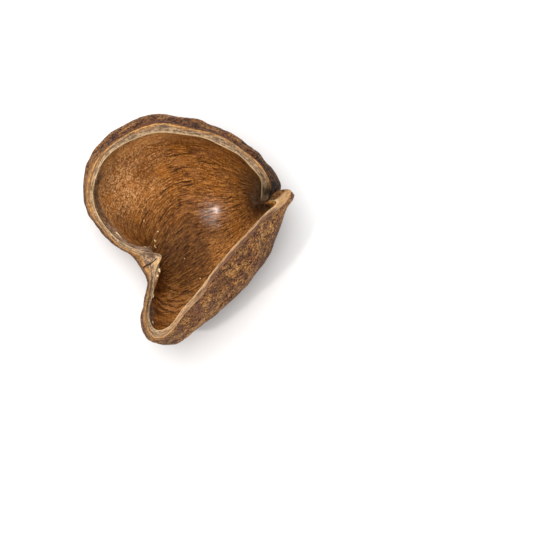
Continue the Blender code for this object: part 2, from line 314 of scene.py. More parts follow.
around = low_harmonics(husk_ring, 1)
middle_ring = FOOT * around / np.linalg.norm(around, axis=1, keepdims=True)
husk = wall_rows(outer_edge, husk_ring, middle_ring, 0.0, HUSK_LEAN, BACK_FULLNESS)
lining = wall_rows(inner_edge, lining_ring, middle_ring, FLOOR, LINING_LEAN, LINING_FULLNESS)
print("husk and lining:", husk.shape, lining.shape)

# %% [markdown]
# ## A map of the fibres
#
# The fibres of the lining start at the stalk. They fan out over the whole hollow and end along the seam
# where the seeds sat: most of them at the beak, the rest all down the standing valve's lower end. That is
# the picture of water that flows from one spring to several drains, and it has a simple formula. Seen
# from a point, add the angle at which the spring lies and take away a share of the angle of each drain:
# where the sum stays the same, one fibre runs.
#
# The bowl is first flattened to a map, by keeping each point's direction from the middle and giving it
# the distance that an ant would walk to it. The two numbers go into a UV map, so that both the mesh and
# the nodes can read them.

# %% Where each point of the lining lies among the fibres
MIDDLE_ROWS, FOOT_RINGS = 9, 3  # rings that close the lining over its middle, and the husk's foot
BEAK_SHARE, SEAM_DRAINS, SEAM_END = 0.4, 6, 23  # fibres that end at the beak, and the drains beyond it
DRAIN_TILT = (0.15, 0.12)  # how far down the way out of each drain points, for the first and for each more
TURN_MOST = 1.4
BEND, BEND_MIDDLE, BEND_REACH = 0.42, (5.0, 12.0), 19.0  # where the fibres run straighter to the stalk


def down_to(rows, height, count):
    """Closes a face over the flat spot: its last ring, shrunk evenly to the middle."""
    share = (1 - np.arange(1, count) / count)[:, None, None]
    rings = rows[-1] * share
    rings[..., 2] = height
    return np.concatenate((rows, rings))


lining = down_to(lining, FLOOR, MIDDLE_ROWS)
husk = down_to(husk, 0.0, FOOT_RINGS)


def flattened(rows, pole):
    """Each point at its own direction from the middle, as far out as the walk down its column."""
    path = np.concatenate((rows, np.broadcast_to(pole, (1,) + rows.shape[1:])))
    legs = np.linalg.norm(np.diff(path, axis=0), axis=2)
    walk = np.cumsum(legs[::-1], axis=0)[::-1]
    return rows[..., :2] * (walk / np.linalg.norm(rows[..., :2], axis=2))[..., None]


def angle_from(flat, spot, out):
    """The angle of each point seen from a spot, from the way in, so that it jumps only outside the pod."""
    away = flat - spot
    return np.arctan2(out[1] * away[..., 0] - out[0] * away[..., 1], -(away @ out))


def fibre_map(rows, pole):
    """Two numbers in mm: across the fibres, -a tan(turn / 2), and along them, (PA - PB) / 2.

    The turn is the spring's angle less the drains' share of theirs, counted from the middle of the line
    AB between the stalk and the beak, and a is half of AB. In the middle of the wide valve the fibres lie
    flatter than that, so a term b x exp(-(r / reach)^2) bends them there.
    """
    flat = flattened(rows, pole)
    seam = np.linspace(knots[BEAK_NOTCH], knots[SEAM_END], SEAM_DRAINS + 1)
    stalk, *drains = (flat[0, np.argmin(np.abs(at - knot))] for knot in (knots[STALK_NOTCH], *seam))
    turn = angle_from(flat, stalk, unit(stalk)) - BEAK_SHARE * angle_from(flat, drains[0], unit(drains[0]))
    for number, drain in enumerate(drains[1:]):
        out = unit(np.array((-1.0, -DRAIN_TILT[0] - DRAIN_TILT[1] * number)))
        turn = turn - (1 - BEAK_SHARE) / SEAM_DRAINS * angle_from(flat, drain, out)
    middle = np.argmin(np.linalg.norm(flat - (stalk + drains[0]) / 2, axis=2))
    half = np.linalg.norm(stalk - drains[0]) / 2
    across = -half * np.tan(np.clip((turn - turn.flat[middle]) / 2, -TURN_MOST, TURN_MOST))
    off = rows[..., :2] - BEND_MIDDLE
    across = across + BEND * off[..., 0] * np.exp(-np.sum(off**2, axis=-1) / BEND_REACH**2)
    far_stalk, far_beak = (np.linalg.norm(flat - end, axis=2) for end in (stalk, drains[0]))
    return across, (far_stalk - far_beak) / 2


lining_pole = np.array((0.0, 0.0, FLOOR))
across, along = fibre_map(lining, lining_pole)
print("fibres: across %.0f to %.0f mm" % (across.min(), across.max()))
print("fibres: along %.0f to %.0f mm" % (along.min(), along.max()))

# %% [markdown]
# ## Relief
#
# Lumps on a natural thing have no pattern, but they have a size. A sum of a few waves in random
# directions, all of about one length, gives exactly that, and the same seed always gives the same
# lumps. The husk's lumps are those of the solid, and its grains are smaller ones that only the skin has.
# On the lining the waves are drawn out along the fibres: they make low ridges, with short furrows where a
# slower wave is at its lowest. Where the fibres have frayed, at the left of the wide valve, tufts of no
# direction take over.

# %% Lumps and grains of the husk
WAVES, WAVE_SPREAD, WAVE_SUM = 14, (0.75, 1.3), 5.3
HUSK_LUMPS = ((0.55, 15.0, 3), (0.32, 6.5, 4))  # height, length, seed: as in the solid
HUSK_GRAINS = ((0.06, 2.9, 11), (0.05, 1.7, 12))
LUMP_FADE, GRAIN_FADE = (3 / 7, 3 / 11), (0.12, 0.2)


def waves(points, length, seed):
    """The sum of sin(k . p + phase) over random directions k of about one wavelength, about -1 to 1."""
    draw = np.random.default_rng(seed)
    ways = draw.normal(size=(WAVES, points.shape[-1]))
    ways *= (2 * np.pi / length) / np.linalg.norm(ways, axis=1, keepdims=True)
    ways *= draw.uniform(*WAVE_SPREAD, size=(WAVES, 1))
    phases = draw.uniform(0, 2 * np.pi, WAVES)
    return np.sin(points @ ways.T + phases).sum(axis=-1) / WAVE_SUM


def normals(rows):
    """Unit cross product of the grid's two directions, pointing out of the bowl."""
    along_rim = np.roll(rows, -1, axis=1) - np.roll(rows, 1, axis=1)
    return unit(np.cross(np.gradient(rows, axis=0), along_rim))


def fade(rows, share_down, share_up):
    """0 at the rim and at the flat spot, 1 between them, by shares of the side and of the back."""
    row = np.arange(len(rows))
    down = ease(row / (share_down * SIDE_ROWS))
    up = ease((SIDE_ROWS + BACK_ROWS - row) / (share_up * BACK_ROWS))
    return (down * up)[:, None]


lumps = sum(height * waves(husk, length, seed) for height, length, seed in HUSK_LUMPS)
grains = sum(height * waves(husk, length, seed) for height, length, seed in HUSK_GRAINS)
husk_relief = lumps * fade(husk, *LUMP_FADE) + grains * fade(husk, *GRAIN_FADE)
husk_lie = husk + normals(husk) * husk_relief[..., None]
print("husk relief %.2f mm" % np.ptp(husk_relief))

# %% Ridges, furrows and tufts of the lining
RIDGE_HEIGHT, RIDGE_SIZE = 0.06, (2.4, 12.0)  # across and along the fibres
FURROW_DEPTH, FURROW_SIZE, FURROW_LEVEL = 0.08, (3.2, 16.0), (-0.25, -0.75)
TUFT_HEIGHT, TUFT_SIZE, TUFT_LEAST = 0.12, 2.6, 0.3  # the last is their share where nothing is frayed
FRAYED_MIDDLE, FRAYED_REACH = (-32.0, 21.0, 28.0), (8.0, 34.0)  # all frayed to 8 mm, none past 34
LINING_FADE = (0.18, 0.02)
NOTCH_CALM = 8.0
POLISHED, POLISH_REACH, POLISH_SHARE = (10.0, 6.2), 5.0, 0.8  # where the gum has filled the relief


def fibre_waves(size, seed):
    """Waves drawn out along the fibres, of one size across them and another along them."""
    return waves(np.stack((across / size[0], along / size[1]), axis=2), 1.0, seed)


frayed = ease((FRAYED_REACH[1] - np.linalg.norm(lining - FRAYED_MIDDLE, axis=2)) / np.ptp(FRAYED_REACH))
furrows = ease((FURROW_LEVEL[0] - fibre_waves(FURROW_SIZE, 21)) / -np.diff(FURROW_LEVEL))
lining_relief = (RIDGE_HEIGHT * fibre_waves(RIDGE_SIZE, 22) - FURROW_DEPTH * furrows) * (1 - frayed)
lining_relief += TUFT_HEIGHT * waves(lining, TUFT_SIZE, 23) * (TUFT_LEAST + (1 - TUFT_LEAST) * frayed)
lining_relief *= np.sqrt(fade(lining, *LINING_FADE))
for notch in (STALK_NOTCH, BEAK_NOTCH):
    away = np.linalg.norm(lining - stations[notch, 0], axis=2)
    lining_relief *= ease(away / NOTCH_CALM)
polished = bell(np.linalg.norm(lining[..., :2] - POLISHED, axis=2), 0, POLISH_REACH)
lining_relief *= 1 - POLISH_SHARE * polished
into_bowl = -normals(lining)
lining_lie = lining + into_bowl * lining_relief[..., None]
print("lining relief %.2f mm" % np.ptp(lining_relief))

# %% [markdown]
# ## The rim's own face
#
# Where the seam tore open, the wood is pale and finely ribbed. A thin ridge stands along its inner
# edge, with a groove beside it and a rounded shoulder outside. That is one profile, carried round the
# rim: a sum of bell curves and shallow ribs, with a nibbled surface where the wood has crumbled. At the
# beak the two halves of the seam meet in a small crest, which is one more bell, along the rim this time.

# %% The rim's profile
RIM_ROWS = 16
RIDGE, RIDGE_PLACE, RIDGE_SPREAD = 0.28, 0.10, 0.07
GROOVE, GROOVE_PLACE, GROOVE_SPREAD = 0.30, 0.42, 0.22
SHOULDER, SHOULDER_PLACE, SHOULDER_SPREAD = 0.16, 0.84, 0.12
RIB_HEIGHT, RIB_WIDTH, RIB_LENGTH = 0.10, 0.8, 6.0
NIBBLE_HEIGHT, NIBBLE_SIZE = 0.12, 2.2
BEAK_CALM, BEAK_CALM_REACH = 0.7, 5.0  # share by which the profile is lower at the beak
BEAK_CREST, BEAK_CREST_WIDTH = 0.55, 0.9


share = np.linspace(0, 1, RIM_ROWS + 1)[1:-1, None]
rim_flat = inner_edge + share[..., None] * (outer_edge - inner_edge)
rim_width = np.linalg.norm(outer_edge - inner_edge, axis=1)
profile = RIDGE * bell(share, RIDGE_PLACE, RIDGE_SPREAD) - GROOVE * bell(share, GROOVE_PLACE, GROOVE_SPREAD)
profile = profile + SHOULDER * bell(share, SHOULDER_PLACE, SHOULDER_SPREAD)
round_turn = 2 * np.pi * at / ROUND
round_path = np.stack((np.cos(round_turn), np.sin(round_turn)), axis=1) * ROUND / (2 * np.pi)
ribs_at = np.concatenate(
    (
        np.broadcast_to(round_path / RIB_LENGTH, share.shape[:1] + round_path.shape),
        (share * rim_width / RIB_WIDTH)[..., None],
    ),
    axis=2,
)
rim_relief = profile + RIB_HEIGHT * waves(ribs_at, 1.0, 31)
rim_relief = rim_relief + NIBBLE_HEIGHT * waves(rim_flat, NIBBLE_SIZE, 32)
rim_relief *= 1 - near_station(at, STALK_NOTCH, STALK_CALM)
rim_relief *= 1 - BEAK_CALM * near_station(at, BEAK_NOTCH, BEAK_CALM_REACH)
rim_relief += BEAK_CREST * near_station(at, BEAK_NOTCH, BEAK_CREST_WIDTH)
rim_lie = rim_flat + normals(rim_flat) * rim_relief[..., None]
print("rim %.1f to %.1f mm wide" % (rim_width.min(), rim_width.max()))

# %% [markdown]
# ## One closed skin
#
# Lining, rim and husk are one piece of wood, so they become one mesh: the lining's rows from the middle
# of the hollow outwards, the rim's, then the husk's down to the flat spot. A tear that has dried for a
# year has no knife edge, so the rows next to the rim's two edges are eased with their neighbours.
# Building the faces from index arrays, rather than with operators, keeps every row and column known.

# %% Put the rows together and wear the edges
EDGE_PASSES, EDGE_ROWS = 3, 3

skin = np.concatenate((lining_lie[::-1], rim_lie, husk_lie))
row_number = np.arange(len(skin))
edge_rows = (len(lining) - 1, len(lining) + len(rim_lie))
wear = sum(bell(row_number, edge, EDGE_ROWS) for edge in edge_rows)[:, None, None]
for _ in range(EDGE_PASSES):
    eased = skin.copy()
    eased[1:-1] = (skin[:-2] + 2 * skin[1:-1] + skin[2:]) / 4
    skin += np.clip(wear, 0, 1) * (eased - skin)
skin[-FOOT_RINGS:, :, 2] = 0.0
skin[..., 2] = np.maximum(skin[..., 2], 0.0)

print("skin of", skin.shape[0], "rows by", skin.shape[1], "columns")

# %% How far down each face of the wall a row lies
RIM_SPAN = 4.0  # the rim's face takes 0 to 4 in the profile map, whatever its width in mm


def down_from_rim(rows):
    """The walk down each column, in mm."""
    legs = np.linalg.norm(np.diff(rows, axis=0), axis=2)
    return np.concatenate((np.zeros((1, COLUMNS)), np.cumsum(legs, axis=0)))


profile_v = np.concatenate(
    (
        -down_from_rim(lining)[::-1],
        np.broadcast_to(RIM_SPAN * share, (len(share), COLUMNS)),
        RIM_SPAN + down_from_rim(husk),
    )
)
print("the walk down the husk: %.0f mm at most" % (profile_v.max() - RIM_SPAN))


# %% Turn the grid into a mesh with its maps
def closed_mesh(name, rows, poles, maps):
    """A mesh from rows of points and two poles. Quads join (r, c), (r+1, c), (r+1, c+1), (r, c+1).

    maps holds a pair of arrays for each UV map: u of each row and column, with one extra column that
    closes the seam, and v likewise. A pole's corners take the mean of the row beside them, and in the
    profile map, which would be torn by that, the mean of their own two neighbours.
    """
    count, width = rows.shape[:2]
    number = np.arange(count * width).reshape(count, width)
    after = np.roll(number, -1, axis=1)
    quads = np.stack((number[:-1], number[1:], after[1:], after[:-1]), axis=2).reshape(-1, 4)
    top, bottom = count * width, count * width + 1
    first = np.stack((np.full(width, top), number[0], after[0]), axis=1)
    last = np.stack((np.full(width, bottom), after[-1], number[-1]), axis=1)
    mesh = bpy.data.meshes.new(name)
    points = np.concatenate((rows.reshape(-1, 3), poles)) * MM
    mesh.from_pydata(points.tolist(), [], quads.tolist() + first.tolist() + last.tolist())
    for map_name, (u, v) in maps.items():
        both = np.stack((u, v), axis=2)
        corners = (both[:-1, :-1], both[1:, :-1], both[1:, 1:], both[:-1, 1:])
        of_quads = np.stack(corners, axis=2).reshape(-1, 2)
        fans = []
        for edge, way in ((both[0], 1), (both[-1], -1)):
            sides = (edge[:-1], edge[1:])
            tip = (edge[:-1] + edge[1:]) / 2
            if map_name != "profile":
                tip = np.broadcast_to(edge.mean(0), tip.shape)
            fans.append(np.stack((tip, *sides[::way]), axis=1).reshape(-1, 2))
        layer = mesh.uv_layers.new(name=map_name)
        layer.data.foreach_set("uv", np.concatenate([of_quads] + fans).astype(np.float32).ravel())
    return mesh


def closing(values, last=None):
    """The values with their first column again at the end, or with another last column."""
    return np.concatenate((values, values[:, :1] if last is None else last), axis=1)


profile_u = closing(np.broadcast_to(at, skin.shape[:2]), np.full((len(skin), 1), ROUND))
fibre_u, fibre_v = (
    np.concatenate((values[::-1], np.repeat(values[:1], len(skin) - len(values), axis=0)))
    for values in (across, along)
)
from_edge = np.zeros(skin.shape[:2])  # how far inside the rim a point of the lining is, seen from above
from_edge[: len(lining)] = np.linalg.norm(lining[::-1, :, :2] - inner_edge[:, :2], axis=2)
maps = {
    "profile": (profile_u, closing(profile_v)),
    "fibres": (closing(fibre_u), closing(fibre_v)),
    "inside": (closing(from_edge), closing(from_edge)),
}
poles = np.stack((skin[0].mean(axis=0), np.zeros(3)))
pod_mesh = closed_mesh("pod_surface", skin, poles, maps)
pod = placed("pod_surface", pod_mesh)
pod_mesh.shade_smooth()
print("skin:", sum(len(p.vertices) - 2 for p in pod_mesh.polygons), "triangles")

# %% Let it stand for the solid
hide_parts("pod")
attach(pod, "root")

# %% [markdown]
# ## What clings to the lining
#
# Each seed hung from the seam on a short stalk. Broken stubs of these stalks are left as cream flecks
# beside the seam. At the other end, where the pod was joined to its tree, the fibres have come loose and
# stand up as a short fringe, and a sparse fuzz of them lies over the frayed part of the wide valve.
#
# Both are the same shape: rings round a short path, closed at both ends. A hair particle system would
# grow them too, but its hairs aren't mesh, so they would be missing from the exported model. So all rings
# of all stubs, or all fibres, are worked out as one array. Stubs are found by where the picture shows
# them: each sits on the point of the lining that the camera sees at that pixel.

# %% Find places on the lining
def pixel_of(points):
    """Where the camera sees points in mm: the picture's middle plus the offset over the scaled pixel."""
    pixel = PIXEL / MM * (1 - points[..., 2] * MM / CAMERA_HEIGHT)
    middle = np.array(camera_place.location)[:2] / MM
    right_down = (points[..., :2] - middle) * np.array((1.0, -1.0)) / pixel[..., None]
    return PICTURE / 2 + right_down


lining_pixels = pixel_of(lining_lie).reshape(-1, 2)


def seen_at(pixel):
    """The lining's point that shows nearest to a pixel, by its number in the flat list of points."""
    return np.argmin(np.linalg.norm(lining_pixels - np.array(pixel), axis=1))


def grid_steps(values):
    """How values change from row to row and from column to column."""
    return np.gradient(values, axis=0), (np.roll(values, -1, axis=1) - np.roll(values, 1, axis=1)) / 2


down_step, round_step = grid_steps(lining_lie)
down_slope, round_slope = grid_steps(across)
fibre_way = unit(down_step * round_slope[..., None] - round_step * down_slope[..., None]).reshape(-1, 3)
seam_way = unit(round_step).reshape(-1, 3)
up_way = into_bowl.reshape(-1, 3)
lining_points = lining_lie.reshape(-1, 3)


# %% Rings round short paths
def spindles(path, side, up, half_width, half_height, corners):
    """Rings path + w cos(u) side + h sin(u) up, for shapes x rows x corners, with w and h by row."""
    u = np.arange(corners) * 2 * np.pi / corners
    wide = half_width[..., None, None] * np.cos(u)[:, None] * side[:, None, None]
    high = half_height[..., None, None] * np.sin(u)[:, None] * up[:, None, None]
    return path[:, :, None] + wide + high


def many_closed(name, rings, tips):
    """One mesh of many small closed shapes: quads between their rings, and a fan to each of two tips."""
    count, rows, corners = rings.shape[:3]
    number = np.arange(rows * corners).reshape(rows, corners)
    after = np.roll(number, -1, axis=1)
    first, last = np.full(corners, rows * corners), np.full(corners, rows * corners + 1)
    quads = np.stack((number[:-1], after[:-1], after[1:], number[1:]), axis=2).reshape(-1, 4)
    fans = np.concatenate(
        (np.stack((first, after[0], number[0]), axis=1), np.stack((last, number[-1], after[-1]), axis=1))
    )
    shift = np.arange(count)[:, None, None] * (rows * corners + 2)
    points = np.concatenate((rings.reshape(count, -1, 3), tips), axis=1).reshape(-1, 3)
    faces = (quads + shift).reshape(-1, 4).tolist() + (fans + shift).reshape(-1, 3).tolist()
    mesh = bpy.data.meshes.new(name)
    mesh.from_pydata((points * MM).tolist(), [], faces)
    mesh.shade_smooth()
    piece = placed(name, mesh)
    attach(piece, "root")
    print(name + ":", count, "shapes,", sum(len(face) - 2 for face in faces), "triangles")
    return piece


# %% Stubs of the seeds' stalks
STUBS = (  # pixel where it shows, length and width in mm
    ((118.0, 234.5), 4.0, 0.95),
    ((145.5, 247.8), 2.0, 0.8),
    ((155.6, 246.8), 1.7, 0.6),
    ((155.5, 240.5), 1.4, 0.7),
    ((157.5, 231.4), 0.7, 0.6),
    ((144.4, 220.7), 0.6, 0.5),
    ((159.3, 270.3), 2.4, 1.1),
    ((157.5, 275.6), 1.4, 0.7),
    ((152.9, 295.8), 2.0, 0.8),
    ((153.5, 323.0), 1.4, 0.7),
    ((184.8, 258.6), 0.6, 0.5),
    ((200.0, 278.0), 0.8, 0.6),
)
STUB_ROWS, STUB_CORNERS, STUB_HEIGHT = 9, 14, 0.55  # height as a share of the width
STUB_ROUGHNESS, STUB_LUMP = 0.12, 0.9

stub_points = np.array([seen_at(pixel) for pixel, _, _ in STUBS])
stub_length, stub_width = np.array([size for _, *size in STUBS]).T
stub_turn = (np.arange(1, STUB_ROWS + 1) / (STUB_ROWS + 1) - 0.5) * np.pi
stub_axis, stub_up = seam_way[stub_points], up_way[stub_points]
stub_side = np.cross(stub_up, stub_axis)
stub_middle = lining_points[stub_points][:, None]
stub_reach = stub_length[:, None, None] / 2 * stub_axis[:, None]
stub_path = stub_middle + stub_reach * np.sin(stub_turn)[:, None]
stub_half = stub_width[:, None] / 2 * np.cos(stub_turn)
stub_rings = spindles(stub_path, stub_side, stub_up, stub_half, 2 * STUB_HEIGHT * stub_half, STUB_CORNERS)
stub_rings += STUB_ROUGHNESS * waves(stub_rings, STUB_LUMP, 41)[..., None]
stub_ends = stub_middle + stub_reach * np.array(((-1.0,), (1.0,)))
stubs = many_closed("seed_stalk_stubs", stub_rings, stub_ends)

# %% Loose fibres at the stalk end and over the frayed part
FRINGE, FUZZ = 260, 1500  # how many
FRINGE_MIDDLE, FRINGE_REACH = (29.0, 9.5, 30.0), 7.0
FIBRE_ROWS, FIBRE_CORNERS = 6, 3
FRINGE_LENGTH, FUZZ_LENGTH, FIBRE_WIDTH = (1.2, 3.2), (1.2, 2.8), (0.05, 0.11)
FRINGE_LIFT, FUZZ_LIFT, FIBRE_ROOT = (0.25, 0.9), (0.02, 0.16), 0.12
FRINGE_SPIN, FUZZ_SPIN, FIBRE_BEND = (-0.9, 0.9), (-1.1, 1.1), (-0.3, 0.3)  # how unruly they are
EDGE_CLEAR = 3  # rows left bare below the rim
FUZZ_THRESHOLD = (0.15, 1.0)  # fuzz grows where the lining is more frayed than a number drawn from here
TIP_SHARE, ROOT_RISE = 0.25, 1.6

draw = np.random.default_rng(51)
clear_rows = np.zeros(across.shape, dtype=bool)
clear_rows[EDGE_CLEAR:-MIDDLE_ROWS] = True
stalk_away = np.linalg.norm(lining_lie - FRINGE_MIDDLE, axis=2)
at_stalk = np.flatnonzero(clear_rows & (stalk_away < FRINGE_REACH))
at_frayed = np.flatnonzero(clear_rows & (frayed > draw.uniform(*FUZZ_THRESHOLD, frayed.shape)))
fibre_points = np.concatenate((draw.choice(at_stalk, FRINGE), draw.choice(at_frayed, FUZZ)))


def drawn(fringe_range, fuzz_range):
    """One random number for each fibre, from the fringe's range or from the fuzz's."""
    numbers = draw.uniform(*fringe_range, FRINGE), draw.uniform(*fuzz_range, FUZZ)
    return np.concatenate(numbers)[:, None, None]


lie, up = fibre_way[fibre_points], up_way[fibre_points]
lie = unit(lie - np.sum(lie * up, axis=1, keepdims=True) * up)
spin = drawn(FRINGE_SPIN, FUZZ_SPIN)[:, 0]
ahead = np.cos(spin) * lie + np.sin(spin) * np.cross(up, lie)
length = drawn(FRINGE_LENGTH, FUZZ_LENGTH)
lift = drawn(FRINGE_LIFT, FUZZ_LIFT)
bend = drawn(FIBRE_BEND, FIBRE_BEND)
t = np.linspace(0, 1, FIBRE_ROWS)[:, None]
side_way = np.cross(up, ahead)
fibre_path = lining_points[fibre_points][:, None] - FIBRE_ROOT * up[:, None]
fibre_path = fibre_path + length * (t * ahead[:, None] + bend * t**2 * side_way[:, None])
rise = length * lift * np.sin(t * np.pi / 2) + ROOT_RISE * FIBRE_ROOT * t
fibre_path = fibre_path + rise * up[:, None]
thick = draw.uniform(*FIBRE_WIDTH, (FRINGE + FUZZ, 1)) * (1 - (1 - TIP_SHARE) * t[:, 0])
fibre_rings = spindles(fibre_path, side_way, up, thick, thick, FIBRE_CORNERS)
fibres = many_closed("loose_fibres", fibre_rings, fibre_path[:, (0, -1)])

# %% [markdown]
# ## Writing materials as formulas
#
# A finish is a formula: so much of this colour where the fibres are high, so much of that near the rim.
# Node trees hide such formulas in their wiring. With one small class that stands for a socket, and
# Python's own operators on it, a finish can be read as arithmetic, and each line still adds ordinary
# nodes. The colour is put on as a painter would: a ground first, then thin coats over it, each with a
# mask that says where and how thickly. A tint is written as a picture shows it, from 0 to 255.


# %% A signal is a value that changes over the surface
class Signal:
    """One output socket of a material's nodes, on which + - * / and abs add Math nodes."""

    def __init__(self, finish, socket):
        self.finish = finish
        self.socket = socket

    def math(self, operation, *values):
        """A Math node on values or links."""
        return self.finish.add("ShaderNodeMath", {"operation": operation}, dict(enumerate(values)))

    def __add__(self, other):
        return self.math("ADD", self, other)

    def __radd__(self, other):
        return self.math("ADD", other, self)

    def __sub__(self, other):
        return self.math("SUBTRACT", self, other)

    def __rsub__(self, other):
        return self.math("SUBTRACT", other, self)

    def __mul__(self, other):
        return self.math("MULTIPLY", self, other)

    def __rmul__(self, other):
        return self.math("MULTIPLY", other, self)

    def __truediv__(self, other):
        return self.math("DIVIDE", self, other)

    def __abs__(self):
        return self.math("ABSOLUTE", self)

    def step(self, low, high):
        """0 where the value is at low, 1 where it is at high, smooth between; low may be above high."""
        settings = {"interpolation_type": "SMOOTHSTEP"}
        return self.finish.add("ShaderNodeMapRange", settings, {0: self, 1: float(low), 2: float(high)})


# %% A finish is one material and its nodes
def seen(red, green, blue):
    """A colour as a picture shows it, 0 to 255, made linear: ((c + 0.055) / 1.055)^2.4 above a small c."""
    c = np.array((red, green, blue)) / 255
    linear = np.where(c > 0.04045, ((c + 0.055) / 1.055) ** 2.4, c / 12.92)
    return (*(float(x) for x in linear), 1.0)


class Finish:
    """A material: nodes are added one by one, and each gives back its output as a signal."""

    def __init__(self, name):
        self.material = bpy.data.materials.new(name)
        self.material.use_nodes = True
        self.nodes = self.material.node_tree.nodes
        self.links = self.material.node_tree.links
        self.shader = self.nodes["Principled BSDF"]
        self.colour = None  # what has been painted so far

    def put(self, socket, value):
        """Links a signal to a socket, or sets the socket to what is the same all over."""
        if isinstance(value, Signal):
            self.links.new(value.socket, socket)
        else:
            socket.default_value = value

    def add(self, kind, settings, values, output=0):
        """Any node: its settings are made first, then its sockets get values or links."""
        node = self.nodes.new(kind)
        for name, value in settings.items():
            setattr(node, name, value)
        for name, value in values.items():
            self.put(node.inputs[name], value)
        return Signal(self, node.outputs[output])

    def scaled(self, vector, factor):
        """A vector times one number."""
        return self.add("ShaderNodeVectorMath", {"operation": "SCALE"}, {0: vector, 3: factor})

    def parts(self, vector):
        """The first two numbers of a vector."""
        return tuple(self.add("ShaderNodeSeparateXYZ", {}, {0: vector}, axis) for axis in (0, 1))

    def place(self):
        """Where a point is on the pod, in mm."""
        return self.scaled(self.add("ShaderNodeTexCoord", {}, {}, "Object"), 1 / MM)

    def map(self, name):
        """The two numbers of one of the mesh's UV maps."""
        return self.parts(self.add("ShaderNodeUVMap", {"uv_map": name}, {}))

    def noise(self, where, size, detail=3.0, rough=0.5):
        """Cloudy noise whose lumps are about size apart, 0 to 1 round 0.5."""
        values = {"Vector": self.scaled(where, 1 / size), "Scale": 1.0, "Detail": detail, "Roughness": rough}
        return self.add("ShaderNodeTexNoise", {}, values)

    def streaks(self, u, v, size, detail=3.0, rough=0.65):
        """Noise over two numbers, whose lumps have one size along the first and another along the second."""
        where = self.add("ShaderNodeCombineXYZ", {}, {0: u / size[0], 1: v / size[1]})
        return self.noise(where, 1.0, detail, rough)

    def near(self, where, spot, inside, outside):
        """1 within one distance of a spot, 0 beyond another."""
        distance = self.add("ShaderNodeVectorMath", {"operation": "DISTANCE"}, {0: where, 1: tuple(spot)}, 1)
        return distance.step(outside, inside)

    def blend(self, share, a, b):
        """Tint a where share is 0 and b where it is 1. A tint is a signal or three numbers."""
        a, b = (tint if isinstance(tint, Signal) else seen(*tint) for tint in (a, b))
        return self.add("ShaderNodeMix", {"data_type": "RGBA"}, {0: share, 6: a, 7: b}, 2)

    def paint(self, share, tint):
        """Lays a tint over what is there."""
        self.colour = self.blend(share, self.colour, tint)

    def feed(self, name, value):
        """Gives a signal or a constant to one of the shader's sockets."""
        self.put(self.shader.inputs[name], value)

    def done(self, roughness, height, depth):
        """Feeds the shader: colour, roughness, and a height in mm times depth through a Bump node."""
        self.feed("Base Color", self.colour)
        self.feed("Roughness", roughness)
        values = {"Height": height, "Distance": depth * MM, "Strength": 1.0}
        self.feed("Normal", self.add("ShaderNodeBump", {}, values))
        return self.material


def stretch(round_rim, stations):
    """1 along a stretch of the rim, given by the stations where it begins, is full, fades and ends."""
    begins, full, fades, ends = knots[list(stations)]
    return round_rim.step(begins, full) * round_rim.step(ends, fades)


print("brown as a picture shows it:", [round(x, 3) for x in seen(129, 80, 41)])

# %% [markdown]
# ## The lining
#
# Thousands of fibres lie side by side, glued by the pod's own gum. Their tops are orange brown and dry,
# with short dark gaps between them. The noise is read on the fibre map and drawn out many times longer
# than it is wide. Over the frayed part it gives way to a noise with no direction, paler and pinker.
#
# Over the fibres come larger marks, and each gets a mask of its own: wrinkles across the narrow lobe,
# painted as light on their tops and shade in their folds; painted shade round the stalk, the beak and the
# bottom; a stain of dried gum; and painted light in a band under the rim at the left. The inside of the
# standing valve is painted warmer: painted light for the light that the rest of the hollow throws on it.
# Next to the torn seam, where the seeds sat, a smooth grey strip is left bare, with a thin line of shade
# and a cream edge above it.
#
# One picture laid over the pod would give all this at once, but only for the side it was taken from.
# Masks made of distances, maps and noise hold from every side and at any size.

# %% Fibres
GAP_SIZE, BAND_SIZE, ROW_SIZE, STRAND_SIZE = (0.78, 7.5), (1.5, 12.0), (2.4, 6.0), (0.54, 3.0)
FIBRE_TINTS = (86, 46, 9), (138, 83, 26), (202, 139, 68)  # between fibres, on them, on their tops
FRAYED_TINTS = (130, 82, 36), (190, 131, 72), (242, 192, 136)
PINK_TUFT, DARK_TUFT = (178, 116, 86), (112, 62, 22)
DULL_CLOUD, ORANGE_CLOUD = (146, 93, 60), (176, 104, 28)
DARK_BAND, PALE_BAND, GAP_TINT = (74, 42, 14), (208, 145, 78), (36, 18, 5)


